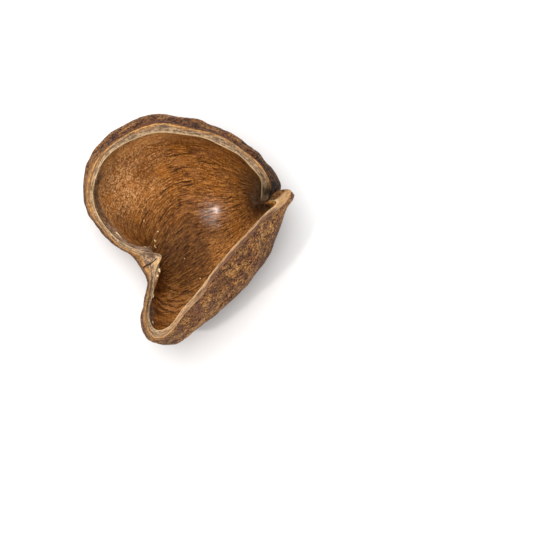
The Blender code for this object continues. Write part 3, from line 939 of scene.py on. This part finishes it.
def fibre_coats(f, place, frayed, tufts, cloud):
    """Paints the fibres, and gives back how high they stand, their finest noise, and the gaps."""
    across, along = f.map("fibres")
    line = across + 1.2 * (f.noise(place, 12.0, 1.0) - 0.5) + 0.6 * (f.noise(place, 3.5, 1.0) - 0.5)
    gaps, bands, rows = (f.streaks(line, along, size, 1.0, 0.5) for size in (GAP_SIZE, BAND_SIZE, ROW_SIZE))
    strands = f.streaks(line, along, STRAND_SIZE, 2.0, 0.6)
    speck = f.noise(place, 0.72, 2.0, 0.65)
    gap = gaps.step(0.42, 0.34) * (0.3 + 0.7 * rows.step(0.58, 0.46)) * (1 - 0.8 * frayed)
    strand = (strands - 0.5) * (1.3 - 0.8 * frayed) + (speck - 0.5) * (0.95 + 0.6 * frayed)
    strand = strand + (tufts - 0.5) * (0.15 + 1.0 * frayed)

    low, middle, high = (f.blend(frayed, *pair) for pair in zip(FIBRE_TINTS, FRAYED_TINTS))
    f.colour = f.blend(strand.step(-0.24, 0.01), low, middle)
    f.paint(strand.step(0.01, 0.26), high)
    f.paint(tufts.step(0.54, 0.66) * (0.26 + 0.26 * frayed), PINK_TUFT)
    f.paint(tufts.step(0.44, 0.34) * 0.30 * frayed, DARK_TUFT)
    f.paint(cloud.step(0.52, 0.72) * 0.30, DULL_CLOUD)
    f.paint(cloud.step(0.46, 0.28) * 0.45, ORANGE_CLOUD)
    f.paint(bands.step(0.46, 0.30) * 0.40 * (1 - frayed), DARK_BAND)
    f.paint(bands.step(0.54, 0.70) * 0.25 * (1 - frayed), PALE_BAND)
    f.paint(gap * 0.80, GAP_TINT)
    return strand, strands, gap


print("a fibre is about %.2f mm wide, and a gap %.1f mm long" % (STRAND_SIZE[0], GAP_SIZE[1]))


# %% Wrinkles and painted shade in the deep places
WRINKLE_SIZE, WRINKLE_MIDDLE, WRINKLE_SAG = (6.0, 1.25), -6.0, 0.045
WRINKLE_PAINTED_LIGHT, WRINKLE_PAINTED_SHADE = (198, 142, 84), (40, 22, 8)
LOBE_BEGINS, WRINKLES_END = (-23.0, -27.0), (-41.0, -35.0)  # y of no wrinkle and of all
STALK_CLEFT, CLEFT_REACH = (31.3, 12.2, 34.0), (1.6, 4.6)  # also on the rim and the husk
# painted shade: the deep places round the stalk, in its cleft, at the bottom, at the beak, at the foot of
# the crest, and low on the left side are painted darker
PAINTED_SHADE_PLACES = (  # middle, how far it is full and where it ends, strength, tint
    ((27.0, 11.0, 24.0), (3.0, 25.0), 0.80, (40, 24, 10)),  # stalk
    ((-1.0, -11.0, 9.0), (6.0, 34.0), 0.68, (54, 30, 10)),  # bottom
    ((-28.0, -1.0, 18.0), (2.0, 16.0), 0.24, (60, 34, 14)),  # left side
    ((-12.0, -13.0, 24.0), (2.0, 18.0), 0.74, (46, 26, 18)),  # beak
    ((27.5, 7.0, 36.5), (2.0, 8.0), 0.70, (42, 25, 12)),  # foot of the crest
    (STALK_CLEFT, CLEFT_REACH, 0.85, (20, 12, 6)),
)


def wrinkle_coats(f, place, inside, cloud):
    """Paints long folds across the lobe, as painted light on their tops and painted shade in them. They sag
    by a parabola: y - s (x - m)^2 is the same along one.
    """
    x, y = f.parts(place)
    sag = y - WRINKLE_SAG * (x - WRINKLE_MIDDLE) * (x - WRINKLE_MIDDLE) + 1.5 * (cloud - 0.5)
    wrinkle = f.streaks(x, sag, WRINKLE_SIZE, 1.0, 0.5)
    wrinkled = y.step(*LOBE_BEGINS) * y.step(*WRINKLES_END) * inside.step(1.5, 4.5)
    # painted light on the tops of the wrinkles, and painted shade in their folds
    f.paint(wrinkled * wrinkle.step(0.52, 0.64) * 0.40, WRINKLE_PAINTED_LIGHT)
    f.paint(wrinkled * wrinkle.step(0.47, 0.38) * 0.70, WRINKLE_PAINTED_SHADE)


def painted_shade_coats(f, place):
    """Paints painted shade in the deep places, as soft balls."""
    for spot, reach, strength, tint in PAINTED_SHADE_PLACES:
        f.paint(strength * f.near(place, spot, *reach), tint)


print(len(PAINTED_SHADE_PLACES), "dark places")


# %% Painted light on two walls, and the stain
STANDING_WALL = (23, 25, 30, 32)
WARM_BOUNCE_LIGHT_TINTS = (112, 64, 20), (220, 150, 78)
STAIN_PIXEL, STAIN_REACH, STAIN_TINT = (142.0, 172.0), (1.5, 7.0), (116, 62, 2)
GUM_STAIN = lining.reshape(-1, 3)[seen_at(STAIN_PIXEL)]
LEFT_REACH = (18.0, 46.0)
LEFT_WALL_PAINTED_LIGHT_TINTS = (206, 130, 62), (255, 200, 128)


def light_coats(f, place, round_rim, inside, strand, tufts, at_left):
    """Paints painted light on the standing valve's inner wall and under the rim at the left, and the gum's
    stain.
    """
    standing = stretch(round_rim, STANDING_WALL)
    # painted light: the standing valve's inner wall is painted warmer, for the light that the rest of the
    # hollow throws on it
    warm = f.blend(strand.step(-0.24, 0.24), *WARM_BOUNCE_LIGHT_TINTS)
    f.paint(0.5 * standing * inside.step(17.0, 3.0), warm)
    stain = f.near(place, GUM_STAIN, *STAIN_REACH) * (0.45 + 0.55 * tufts.step(0.6, 0.4))
    f.paint(0.85 * stain, STAIN_TINT)
    # painted light: just under the rim at the left the lining is painted brighter, where its wall faces away
    # from the light
    bright = f.blend(strand.step(-0.3, 0.3), *LEFT_WALL_PAINTED_LIGHT_TINTS)
    f.paint(0.9 * inside.step(4.0, 0.6) * at_left, bright)


print("the stain lies at", GUM_STAIN.round(1))


# %% Bare strip beside the seam
STRIP_WIDTH = 2.6  # mm, as seen from above
SEAM_BEGINS, SEAM_FADES = knots[[11, 12]], knots[SEAM_END] - np.array((5.0, 12.0))
WIDENS, MURKY_ENDS = knots[[13, 15]], knots[[15, 14]]
LOBE_STRIP_X, LOBE_STRIP_END, PLAIN_STRIP_Y = (-15.2, -17.0), (-45.0, -40.0), (-26.0, -22.0)
SMOOTH_SIZE = (3.0, 0.7)
BARE_TINTS, BARE_PALE = ((96, 78, 66), (164, 138, 120)), (222, 196, 166)
MURKY_TINTS, LOBE_TINTS = ((50, 41, 33), (118, 97, 78)), ((88, 75, 66), (156, 136, 120))
SHADE_LINE, CREAM_EDGE = (52, 38, 20), (204, 174, 128)


def strip_coats(f, place, round_rim, down, inside, tufts, cloud, at_left):
    """Paints the strip and the rim's shade and cream edge over it, and gives back where the strip is."""
    x, y = f.parts(place)
    seam = round_rim.step(*SEAM_BEGINS) * round_rim.step(*SEAM_FADES)
    edge = inside + 1.0 * (f.noise(place, 5.0, 2.0) - 0.5)
    reach = STRIP_WIDTH * (0.82 + 0.18 * round_rim.step(*WIDENS)) + 1.2 * (tufts - 0.5)
    in_lobe = (x + 2.4 * (cloud - 0.5) + 2.0 * (tufts - 0.5)).step(*LOBE_STRIP_X)
    in_lobe = in_lobe * y.step(*LOBE_BEGINS) * y.step(*LOBE_STRIP_END)
    strip = seam * (edge - reach).step(0.4, -0.4) * y.step(*PLAIN_STRIP_Y) + in_lobe

    smooth = f.streaks(round_rim, inside, SMOOTH_SIZE)
    bare = f.blend(smooth.step(0.38, 0.50), *BARE_TINTS)
    bare = f.blend(smooth.step(0.54, 0.66), bare, BARE_PALE)
    murky = f.blend(smooth.step(0.4, 0.6), *MURKY_TINTS)
    bare = f.blend(round_rim.step(*MURKY_ENDS) * 0.85, bare, murky)
    bare = f.blend(in_lobe, bare, f.blend(tufts.step(0.4, 0.6), *LOBE_TINTS))
    f.paint(strip * 0.9, bare)

    shade = edge.step(0.70, 0.40) * down.step(-0.2, -0.6) * (1 - 0.7 * strip)
    shade = shade * (1 - at_left * down.step(-3.5, -6.0))
    f.paint(shade * 0.85, SHADE_LINE)
    f.paint(down.step(-0.45, -0.2), CREAM_EDGE)
    return strip


print("the strip follows %.0f mm of the rim" % (SEAM_FADES[0] - SEAM_BEGINS[0]))


# %% Lining
GLINT_PIXEL, GLINT_REACH = (216.0, 210.0), (1.0, 10.0)
GLINT_POINT = lining.reshape(-1, 3)[seen_at(GLINT_PIXEL)]


def lining_finish():
    """All coats. Deep down the gum has kept a shine: a clear coat there lets one lamp leave a glint."""
    f = Finish("fibrous_lining")
    place = f.place()
    round_rim, down = f.map("profile")
    inside, _ = f.map("inside")
    tufts = f.noise(place, 1.2, 3.0, 0.65)
    cloud = f.noise(place, 7.0, 2.0, 0.5)
    frayed = f.near(place, FRAYED_MIDDLE, *FRAYED_REACH)
    at_left = f.near(place, FRAYED_MIDDLE, *LEFT_REACH)
    strand, strands, gap = fibre_coats(f, place, frayed, tufts, cloud)
    wrinkle_coats(f, place, inside, cloud)
    painted_shade_coats(f, place)
    light_coats(f, place, round_rim, inside, strand, tufts, at_left)
    strip = strip_coats(f, place, round_rim, down, inside, tufts, cloud, at_left)

    shine = f.near(place, GLINT_POINT, *GLINT_REACH)
    roughness = 0.62 + 0.15 * frayed - 0.22 * shine + 0.25 * (0.5 - strands) + 0.15 * gap
    f.feed("Coat Weight", shine * (0.35 + 0.65 * strands.step(0.36, 0.54)))
    f.feed("Coat Roughness", 0.24)
    f.feed("Specular IOR Level", 0.16)
    height = strand - 0.7 * gap
    return f.done(roughness, height * (1 - 0.8 * strip) * (1 - 0.35 * shine), 0.38)


pod_mesh.materials.append(lining_finish())
print("lining:", len(pod_mesh.materials[0].node_tree.nodes), "nodes")

# %% [markdown]
# ## The rim
#
# Torn wood: grey tan and mottled, with ribs that run along it and small cross cracks, a thin cream line
# along its inner edge and, on the wide valve, an orange-brown border outside, where the husk's bark
# begins. On the standing valve the tear is a narrower and yellower strip with a dull outer side. At the
# beak a dark crack marks the seam itself. At the stalk end the wood is dark and fibrous where it broke
# from its stalk, and the wide valve's last stretch, deep in the notch, gets painted shade nearly black,
# as does the cleft.
#
# Noise on the pod's own place would run across the rim as readily as along it. The profile map has one
# number along the rim and one across it, so on that map ribs, cracks and lines are simple formulas.

# %% Ribs, mottles and the two valves' borders
STANDING_RIM, STANDING_CREST, LEFT_SIDE = (23, 24, 31, 33), (25, 27, 30, 31), (10, 12, 14, 16)
TOP_SIDE = knots[[11, 9]]
RIB_SIZE, TICK_SIZE = (5.0, 0.5), (0.8, 1.8)  # along the rim and across it
RIB_TINTS, TIP_TAN, TICK_BROWN = ((98, 78, 60), (192, 160, 124)), (206, 164, 112), (78, 56, 40)
GREY_BLOT, CREAM_BLOT, CREAM_LINE = (108, 84, 72), (220, 184, 140), (220, 192, 146)
STRIP_TINTS, OUTSIDE_TINTS = ((140, 98, 62), (212, 166, 116)), ((80, 56, 44), (136, 98, 72))
TOP_BROWN, BARK_TINTS = (84, 60, 40), ((116, 76, 36), (214, 158, 92))


def wood_coats(f, ribs, blots, ticks, plain_tip, at_beak):
    """Paints the torn wood: ribs, grey and cream blots, a plain tip, and small cross cracks."""
    f.colour = f.blend(ribs.step(0.38, 0.60), *RIB_TINTS)
    f.paint(blots.step(0.49, 0.58) * (0.5 + 0.4 * at_beak), GREY_BLOT)
    f.paint(blots.step(0.45, 0.36) * 0.6, CREAM_BLOT)
    f.paint(plain_tip * 0.6, TIP_TAN)
    f.paint(ticks.step(0.58, 0.66) * 0.55, TICK_BROWN)


def valve_coats(f, ribs, blots, cloud, round_rim, across_rim, at_beak):
    """Paints the standing valve's strip, the cream line, and the wide valve's border of bark."""
    standing = stretch(round_rim, STANDING_RIM)
    f.paint(standing * 0.55, f.blend((ribs + 0.5 * (blots - 0.5)).step(0.36, 0.64), *STRIP_TINTS))
    cream = across_rim.step(0.75, 0.40) * (blots + ribs - 0.5).step(0.25, 0.45) * (1 - at_beak)
    f.paint(cream * 0.8, CREAM_LINE)
    outside = (across_rim + 1.6 * (cloud - 0.5)).step(0.9, 1.5) * standing
    outside = outside * stretch(round_rim, STANDING_CREST)
    f.paint(outside, f.blend(ribs.step(0.35, 0.65), *OUTSIDE_TINTS))
    f.paint(round_rim.step(*TOP_SIDE) * (1 - standing) * 0.22, TOP_BROWN)
    at_side = stretch(round_rim, LEFT_SIDE)
    border = across_rim + 4.0 * (cloud - 0.5) + 1.2 * (blots - 0.5) + 1.1 * at_side
    bark = f.blend((ribs + blots - 0.5).step(0.34, 0.66), *BARK_TINTS)
    f.paint(border.step(2.9, 3.6) * (1 - standing) * 0.8, bark)


print("a rib is about %.1f mm long" % RIB_SIZE[0])

# %% The stalk end and the beak
CREST_BEGINS = (0.85 * knots[32] + 0.15 * knots[33], 0.4 * knots[32] + 0.6 * knots[33])
NOTCH_SHADE_ENDS = (knots[3] + 2.0, knots[0] + 3.0)
BROKEN_TINTS, NOTCH_SHADE_TINTS = ((24, 14, 7), (116, 74, 30)), ((34, 25, 15), (112, 92, 64))
RIM_CLEFT_SHADE, FLAKE_TINT, CRACK_TINT = (18, 11, 6), (222, 182, 126), (44, 28, 16)


def end_coats(f, place, ribs, blots, cloud, round_rim, across_rim, at_beak):
    """Paints the broken wood at the stalk, painted shade in the notch and its cleft, and at the beak a flake
    and the crack, which it gives back.
    """
    fibrous = f.noise(place, 1.3, 3.0, 0.65)
    f.paint(round_rim.step(*CREST_BEGINS) * 0.92, f.blend(fibrous.step(0.40, 0.62), *BROKEN_TINTS))
    # painted shade: the wide valve's last stretch of rim, deep in the notch, and the cleft at the stalk are
    # painted nearly black
    f.paint(round_rim.step(*NOTCH_SHADE_ENDS) * 0.8, f.blend(ribs.step(0.38, 0.62), *NOTCH_SHADE_TINTS))
    f.paint(f.near(place, STALK_CLEFT, *CLEFT_REACH) * 0.95, RIM_CLEFT_SHADE)
    from_seam = round_rim - float(knots[BEAK_NOTCH])
    wander = 1.6 * (cloud - 0.5) + 1.4 * (blots - 0.5)
    crack = abs(from_seam + wander).step(0.50, 0.12) * across_rim.step(0.9, 1.3)
    flake = from_seam.step(0.1, 0.5) * across_rim.step(2.4, 1.6) * at_beak
    f.paint(flake * 0.6, FLAKE_TINT)
    f.paint(crack, CRACK_TINT)
    return crack


print("the crack is %.0f mm along the rim from the stalk" % (knots[BEAK_NOTCH] - knots[STALK_NOTCH]))

# %% Rim
TIP, BEAK_SPOT, SPOT_REACH = (38.5, 11.5, 45.0), (-16.5, -15.0, 29.0), (3.0, 8.0)


def rim_finish():
    """All coats. On the tip, where the ribs end, the blots take their place."""
    f = Finish("torn_rim")
    place = f.place()
    round_rim, across_rim = f.map("profile")
    blots = f.noise(place, 1.3, 3.0, 0.68)
    cloud = f.noise(place, 5.0, 2.0, 0.5)
    ticks = f.streaks(round_rim, across_rim, TICK_SIZE, 2.0, 0.6)
    plain_tip, at_beak = f.near(place, TIP, *SPOT_REACH), f.near(place, BEAK_SPOT, *SPOT_REACH)
    ribs = f.streaks(round_rim, across_rim, RIB_SIZE)
    ribs = ribs + (0.5 + 0.6 * (blots - 0.5) - ribs) * plain_tip
    wood_coats(f, ribs, blots, ticks, plain_tip, at_beak)
    valve_coats(f, ribs, blots, cloud, round_rim, across_rim, at_beak)
    crack = end_coats(f, place, ribs, blots, cloud, round_rim, across_rim, at_beak)

    f.feed("Specular IOR Level", 0.14)
    height = (ribs - 0.5) * 0.8 + (blots - 0.5) * 0.7 - ticks.step(0.60, 0.70) * 0.3 - crack
    return f.done(0.68 + 0.2 * (ribs - 0.5), height, 0.38)


pod_mesh.materials.append(rim_finish())
print("rim:", len(pod_mesh.materials[1].node_tree.nodes), "nodes")

# %% [markdown]
# ## The husk
#
# The bark is a smooth purple brown for a few millimetres below the rim and then breaks into fine warts
# with tan tops, like coarse sandpaper. Here and there the surface has weathered to an orange-tan patch.
# The wide valve's far side is a duller brown, with an orange band along the seam side of its rim. At
# the stalk the bark is painted almost black as shade, and low down the standing valve's husk is painted
# browner, partly its own colour and partly painted shade.
#
# Displacing the mesh could raise the warts too, but they are about a millimetre wide and would take
# millions of faces. So the mesh holds the lumps and the larger grains, and paint and a bump the rest.

# %% Warts, plain band and weather
GRIT, WARTS = (0.85, 3.0, 0.72), (1.3, 2.0, 0.6)  # size, detail and roughness of each noise
LUMPS, PATCHES = (2.8, 2.0, 0.5), (5.5, 3.0, 0.6)
TAN_PATCHES = (  # middle, and how far it is full and where it ends
    ((13.0, -25.5, 50.0), (2.0, 6.5)),
    ((1.0, -40.0, 36.0), (3.0, 13.0)),
    ((-8.0, 46.0, 27.0), (2.0, 8.0)),
)
WART_TINTS, WART_TOP, LUMP_TOP = ((42, 22, 8), (152, 92, 38)), (244, 176, 96), (216, 154, 88)
HOLLOW_TINTS, PLAIN_TINTS = ((42, 26, 18), (134, 86, 60)), ((44, 26, 14), (124, 80, 48))
MAUVE_TINTS, OLD_BROWN = ((56, 33, 24), (156, 98, 68)), (76, 48, 30)
TAN_TINTS = (132, 84, 42), (240, 182, 114)


def bark_coats(f, place, bump, lumps, patches, streak, band):
    """Paints warts with tan tops, the plain band below the rim, and mauve, tan and old patches."""
    on_bump = bump.step(-0.2, 0.2)
    f.colour = f.blend(bump.step(-0.17, -0.02), *WART_TINTS)
    f.paint(bump.step(-0.02, 0.17), WART_TOP)
    f.paint(lumps.step(0.50, 0.38) * 0.65, f.blend(on_bump, *HOLLOW_TINTS))
    f.paint(lumps.step(0.54, 0.66) * 0.45, LUMP_TOP)
    f.paint(band, f.blend((streak - 0.5 + 1.1 * bump).step(-0.25, 0.25), *PLAIN_TINTS))
    f.paint(patches.step(0.52, 0.42) * 0.7, f.blend(on_bump, *MAUVE_TINTS))
    weathered = patches.step(0.52, 0.62) * (1 - 0.75 * band)
    for spot, reach in TAN_PATCHES:
        weathered = weathered + 0.7 * f.near(place, spot, *reach) * patches.step(0.38, 0.56)
    f.paint(weathered.step(0.0, 1.5), f.blend(on_bump, *TAN_TINTS))
    f.paint(f.noise(place, 14.0, 2.0).step(0.52, 0.36) * 0.35, OLD_BROWN)


print(len(TAN_PATCHES), "tan patches with a place of their own")

# %% Sides of the husk that differ
SEAM_SIDE, STALK_SIDE = (10, 12, 24, 25), knots[[5, 2]]
FAR_TINTS, SHADED_TINTS = ((42, 25, 15), (150, 104, 66)), ((24, 14, 9), (120, 74, 48))
BRINK_TINTS, LOW_BROWN_AND_SHADE = ((92, 58, 30), (160, 106, 58)), (58, 32, 20)
ORANGE_TINTS, ORANGE_FOOT = ((112, 72, 32), (206, 150, 88)), (66, 44, 26)
STALK_SHADE_TINTS, HUSK_SEAM = ((20, 12, 6), (112, 66, 36)), (40, 26, 16)
HUSK_CLEFT_SHADE, HUSK_CLEFT_REACH = (26, 17, 11), (2.5, 9.0)


def side_coats(f, place, round_rim, below, standing, bump, lumps, patches, streak):
    """Paints the far side, the brink below the rim, the seam side, the standing valve's low part with
    painted shade, painted shade at the stalk end and in its cleft, and the seam's end.
    """
    f.paint((1 - standing) * below.step(3.0, 10.0) * 0.5, f.blend(bump.step(-0.2, 0.2), *FAR_TINTS))
    seam_side = stretch(round_rim, SEAM_SIDE)
    shaded = (1 - standing) * below.step(13.0, 7.0) * (0.35 + 0.5 * patches.step(0.6, 0.4)) * (1 - seam_side)
    f.paint(shaded, f.blend((bump + lumps - 0.5).step(-0.2, 0.2), *SHADED_TINTS))
    brink = (below + 2.4 * (patches - 0.5)).step(1.0, 0.2) * (1 - standing)
    f.paint(brink * 0.55, f.blend(streak.step(0.4, 0.6), *BRINK_TINTS))
    orange = seam_side * (below + 3.0 * (patches - 0.5)).step(5.0, 2.0) * 0.75
    f.paint(orange, f.blend((streak - 0.5 + bump).step(-0.2, 0.2), *ORANGE_TINTS))
    f.paint(seam_side * below.step(3.0, 5.5) * 0.45, ORANGE_FOOT)
    # low down the standing valve's husk is painted browner: partly its own colour, partly painted shade
    # where it turns from the light
    f.paint(standing * below.step(18.0, 34.0) * 0.35, LOW_BROWN_AND_SHADE)
    # painted shade: the husk at the stalk end, which faces away from the light, is painted nearly black
    at_stalk = round_rim.step(*STALK_SIDE) * below.step(18.0, 8.0)
    f.paint(at_stalk * 0.88, f.blend((streak + 0.6 * bump).step(0.46, 0.66), *STALK_SHADE_TINTS))
    # painted shade in the cleft at the stalk
    f.paint(f.near(place, STALK_CLEFT, *HUSK_CLEFT_REACH) * 0.8, HUSK_CLEFT_SHADE)
    from_seam = abs(round_rim - float(knots[BEAK_NOTCH]))
    f.paint(from_seam.step(0.7, 0.2) * below.step(3.0, 1.5), HUSK_SEAM)


print("the seam side is %.0f mm of the rim" % (knots[SEAM_SIDE[3]] - knots[SEAM_SIDE[0]]))

# %% Husk
STANDING_HUSK = (22, 24, 31, 33)
STREAK_SIZE = (5.0, 1.1)  # along the rim and down from it


def husk_finish():
    """All coats, on warts that are the sum of two noises."""
    f = Finish("warty_husk")
    place = f.place()
    round_rim, down = f.map("profile")
    grit, warts, lumps, patches = (f.noise(place, *kind) for kind in (GRIT, WARTS, LUMPS, PATCHES))
    streak = f.streaks(round_rim, down, STREAK_SIZE, 3.0, 0.6)
    below = (down + 2.6 * (f.noise(place, 6.0, 2.0) - 0.5)) - RIM_SPAN
    standing = stretch(round_rim, STANDING_HUSK)
    band = below.step(5.0, 3.2) * (1 - 0.8 * standing)
    bump = 0.7 * (warts - 0.5) + 1.7 * (grit - 0.5)
    bark_coats(f, place, bump, lumps, patches, streak, band)
    side_coats(f, place, round_rim, below, standing, bump, lumps, patches, streak)

    f.feed("Specular IOR Level", 0.12)
    height = (bump + 0.9 * (lumps - 0.5)) * (1 - 0.5 * band) + 0.3 * (streak - 0.5) * band
    return f.done(0.70 + 0.2 * (grit - 0.5), height, 0.75)


pod_mesh.materials.append(husk_finish())
print("husk:", len(pod_mesh.materials[2].node_tree.nodes), "nodes")

# %% [markdown]
# ## Stubs and loose fibres
#
# The stubs are cream, darker where they broke. The fibres are each a little different, so their colour
# comes from a noise much larger than a fibre is wide. Round the stalk all of them are dark.

# %% Stubs and fibres
STUB_TINTS, LOOSE_TINTS = ((158, 112, 62), (255, 234, 180)), ((98, 60, 30), (206, 156, 104))
FRINGE_TINT, FRINGE_DARK = (60, 36, 16), (7.0, 13.0)


def small_finish(name, tints, size, bump):
    """Two tints by one noise, whose lumps are of the size given."""
    f = Finish(name)
    place = f.place()
    grain = f.noise(place, size, 3.0, 0.6)
    f.colour = f.blend(grain.step(0.36, 0.62), *tints)
    f.paint(f.near(place, FRINGE_MIDDLE, *FRINGE_DARK) * 0.85, FRINGE_TINT)
    f.feed("Specular IOR Level", 0.4)
    return f.done(0.5 + 0.2 * (grain - 0.5), grain - 0.5, bump)


stubs.data.materials.append(small_finish("stalk_stub", STUB_TINTS, 0.7, 0.2))
fibres.data.materials.append(small_finish("loose_fibre", LOOSE_TINTS, 1.4, 0.02))

# %% Give each face of the skin its finish
row_finish = np.zeros(len(skin) - 1, dtype=np.int32)
row_finish[edge_rows[0] :] = 1
row_finish[edge_rows[1] :] = 2
face_finish = np.concatenate((np.repeat(row_finish, COLUMNS), np.zeros(COLUMNS), np.full(COLUMNS, 2)))
pod_mesh.polygons.foreach_set("material_index", face_finish.astype(np.int32))
pod_mesh.update()
print("faces by finish:", np.bincount(face_finish.astype(int)))

# %% [markdown]
# ## Floor and light
#
# The picture's ground is plain white, brighter than white can show, so that only the floor close under
# the pod turns grey. The light is a large soft one, nearly overhead and a little to the upper left, in a
# white room. A small bright lamp leaves a glint in the hollow: where it has to hang follows from the law
# of reflection, from the point where the glint is and the way the lining faces there. The floor is a
# sheet just under the pod, not attached to it, so that it isn't part of the object.

# %% White floor
FLOOR_HALF = 1.5
FLOOR_DROP = 0.1 * MM
PAPER_WHITE = (0.92, 0.92, 0.92, 1.0)

floor_mesh = bpy.data.meshes.new("floor")
corners = [(x * FLOOR_HALF, y * FLOOR_HALF, -FLOOR_DROP) for x, y in ((-1, -1), (1, -1), (1, 1), (-1, 1))]
floor_mesh.from_pydata(corners, [], [(0, 1, 2, 3)])
floor = placed("floor", floor_mesh)
paper = Finish("white_floor")
paper.feed("Base Color", PAPER_WHITE)
paper.feed("Roughness", 0.9)
paper.feed("Specular IOR Level", 0.1)
floor_mesh.materials.append(paper.material)
print("floor %.1f m wide" % (2 * FLOOR_HALF))

# %% Room light and two lamps
ROOM_LIGHT = 0.42
SOFT_PLACE, SOFT_AIM, SOFT_SIZE, SOFT_POWER = (-0.10, 0.30, 1.15), (0.0, 0.0, 0.02), 0.95, 15.0
GLINT_AWAY, GLINT_SIZE, GLINT_POWER, GLINT_COLOUR = 0.8, 0.05, 1.6, (1.0, 0.90, 0.84)


def lamp(name, place, aim, size, power, colour=(1.0, 1.0, 1.0)):
    """A square lamp, in metres and watts, that faces a point."""
    light = bpy.data.lights.new(name, "AREA")
    light.size = size
    light.energy = power
    light.color = colour
    holder = placed(name, light)
    holder.location = place
    holder.rotation_euler = (Vector(aim) - Vector(place)).to_track_quat("-Z", "Y").to_euler()


world = bpy.data.worlds.new("studio")
world.use_nodes = True
room = world.node_tree.nodes["Background"]
room.inputs["Color"].default_value = (1.0, 1.0, 1.0, 1.0)
room.inputs["Strength"].default_value = ROOM_LIGHT
bpy.context.scene.world = world
bpy.context.scene.view_settings.view_transform = "Standard"
lamp("soft_box", SOFT_PLACE, SOFT_AIM, SOFT_SIZE, SOFT_POWER)

facing = up_way[seen_at(GLINT_PIXEL)]
to_camera = unit(np.array(camera_place.location) / MM - GLINT_POINT)
mirrored = 2 * (facing @ to_camera) * facing - to_camera
glint_place = GLINT_POINT * MM + GLINT_AWAY * mirrored
lamp("glint", glint_place, GLINT_POINT * MM, GLINT_SIZE, GLINT_POWER, GLINT_COLOUR)
print("the glint's lamp hangs at", glint_place.round(2))
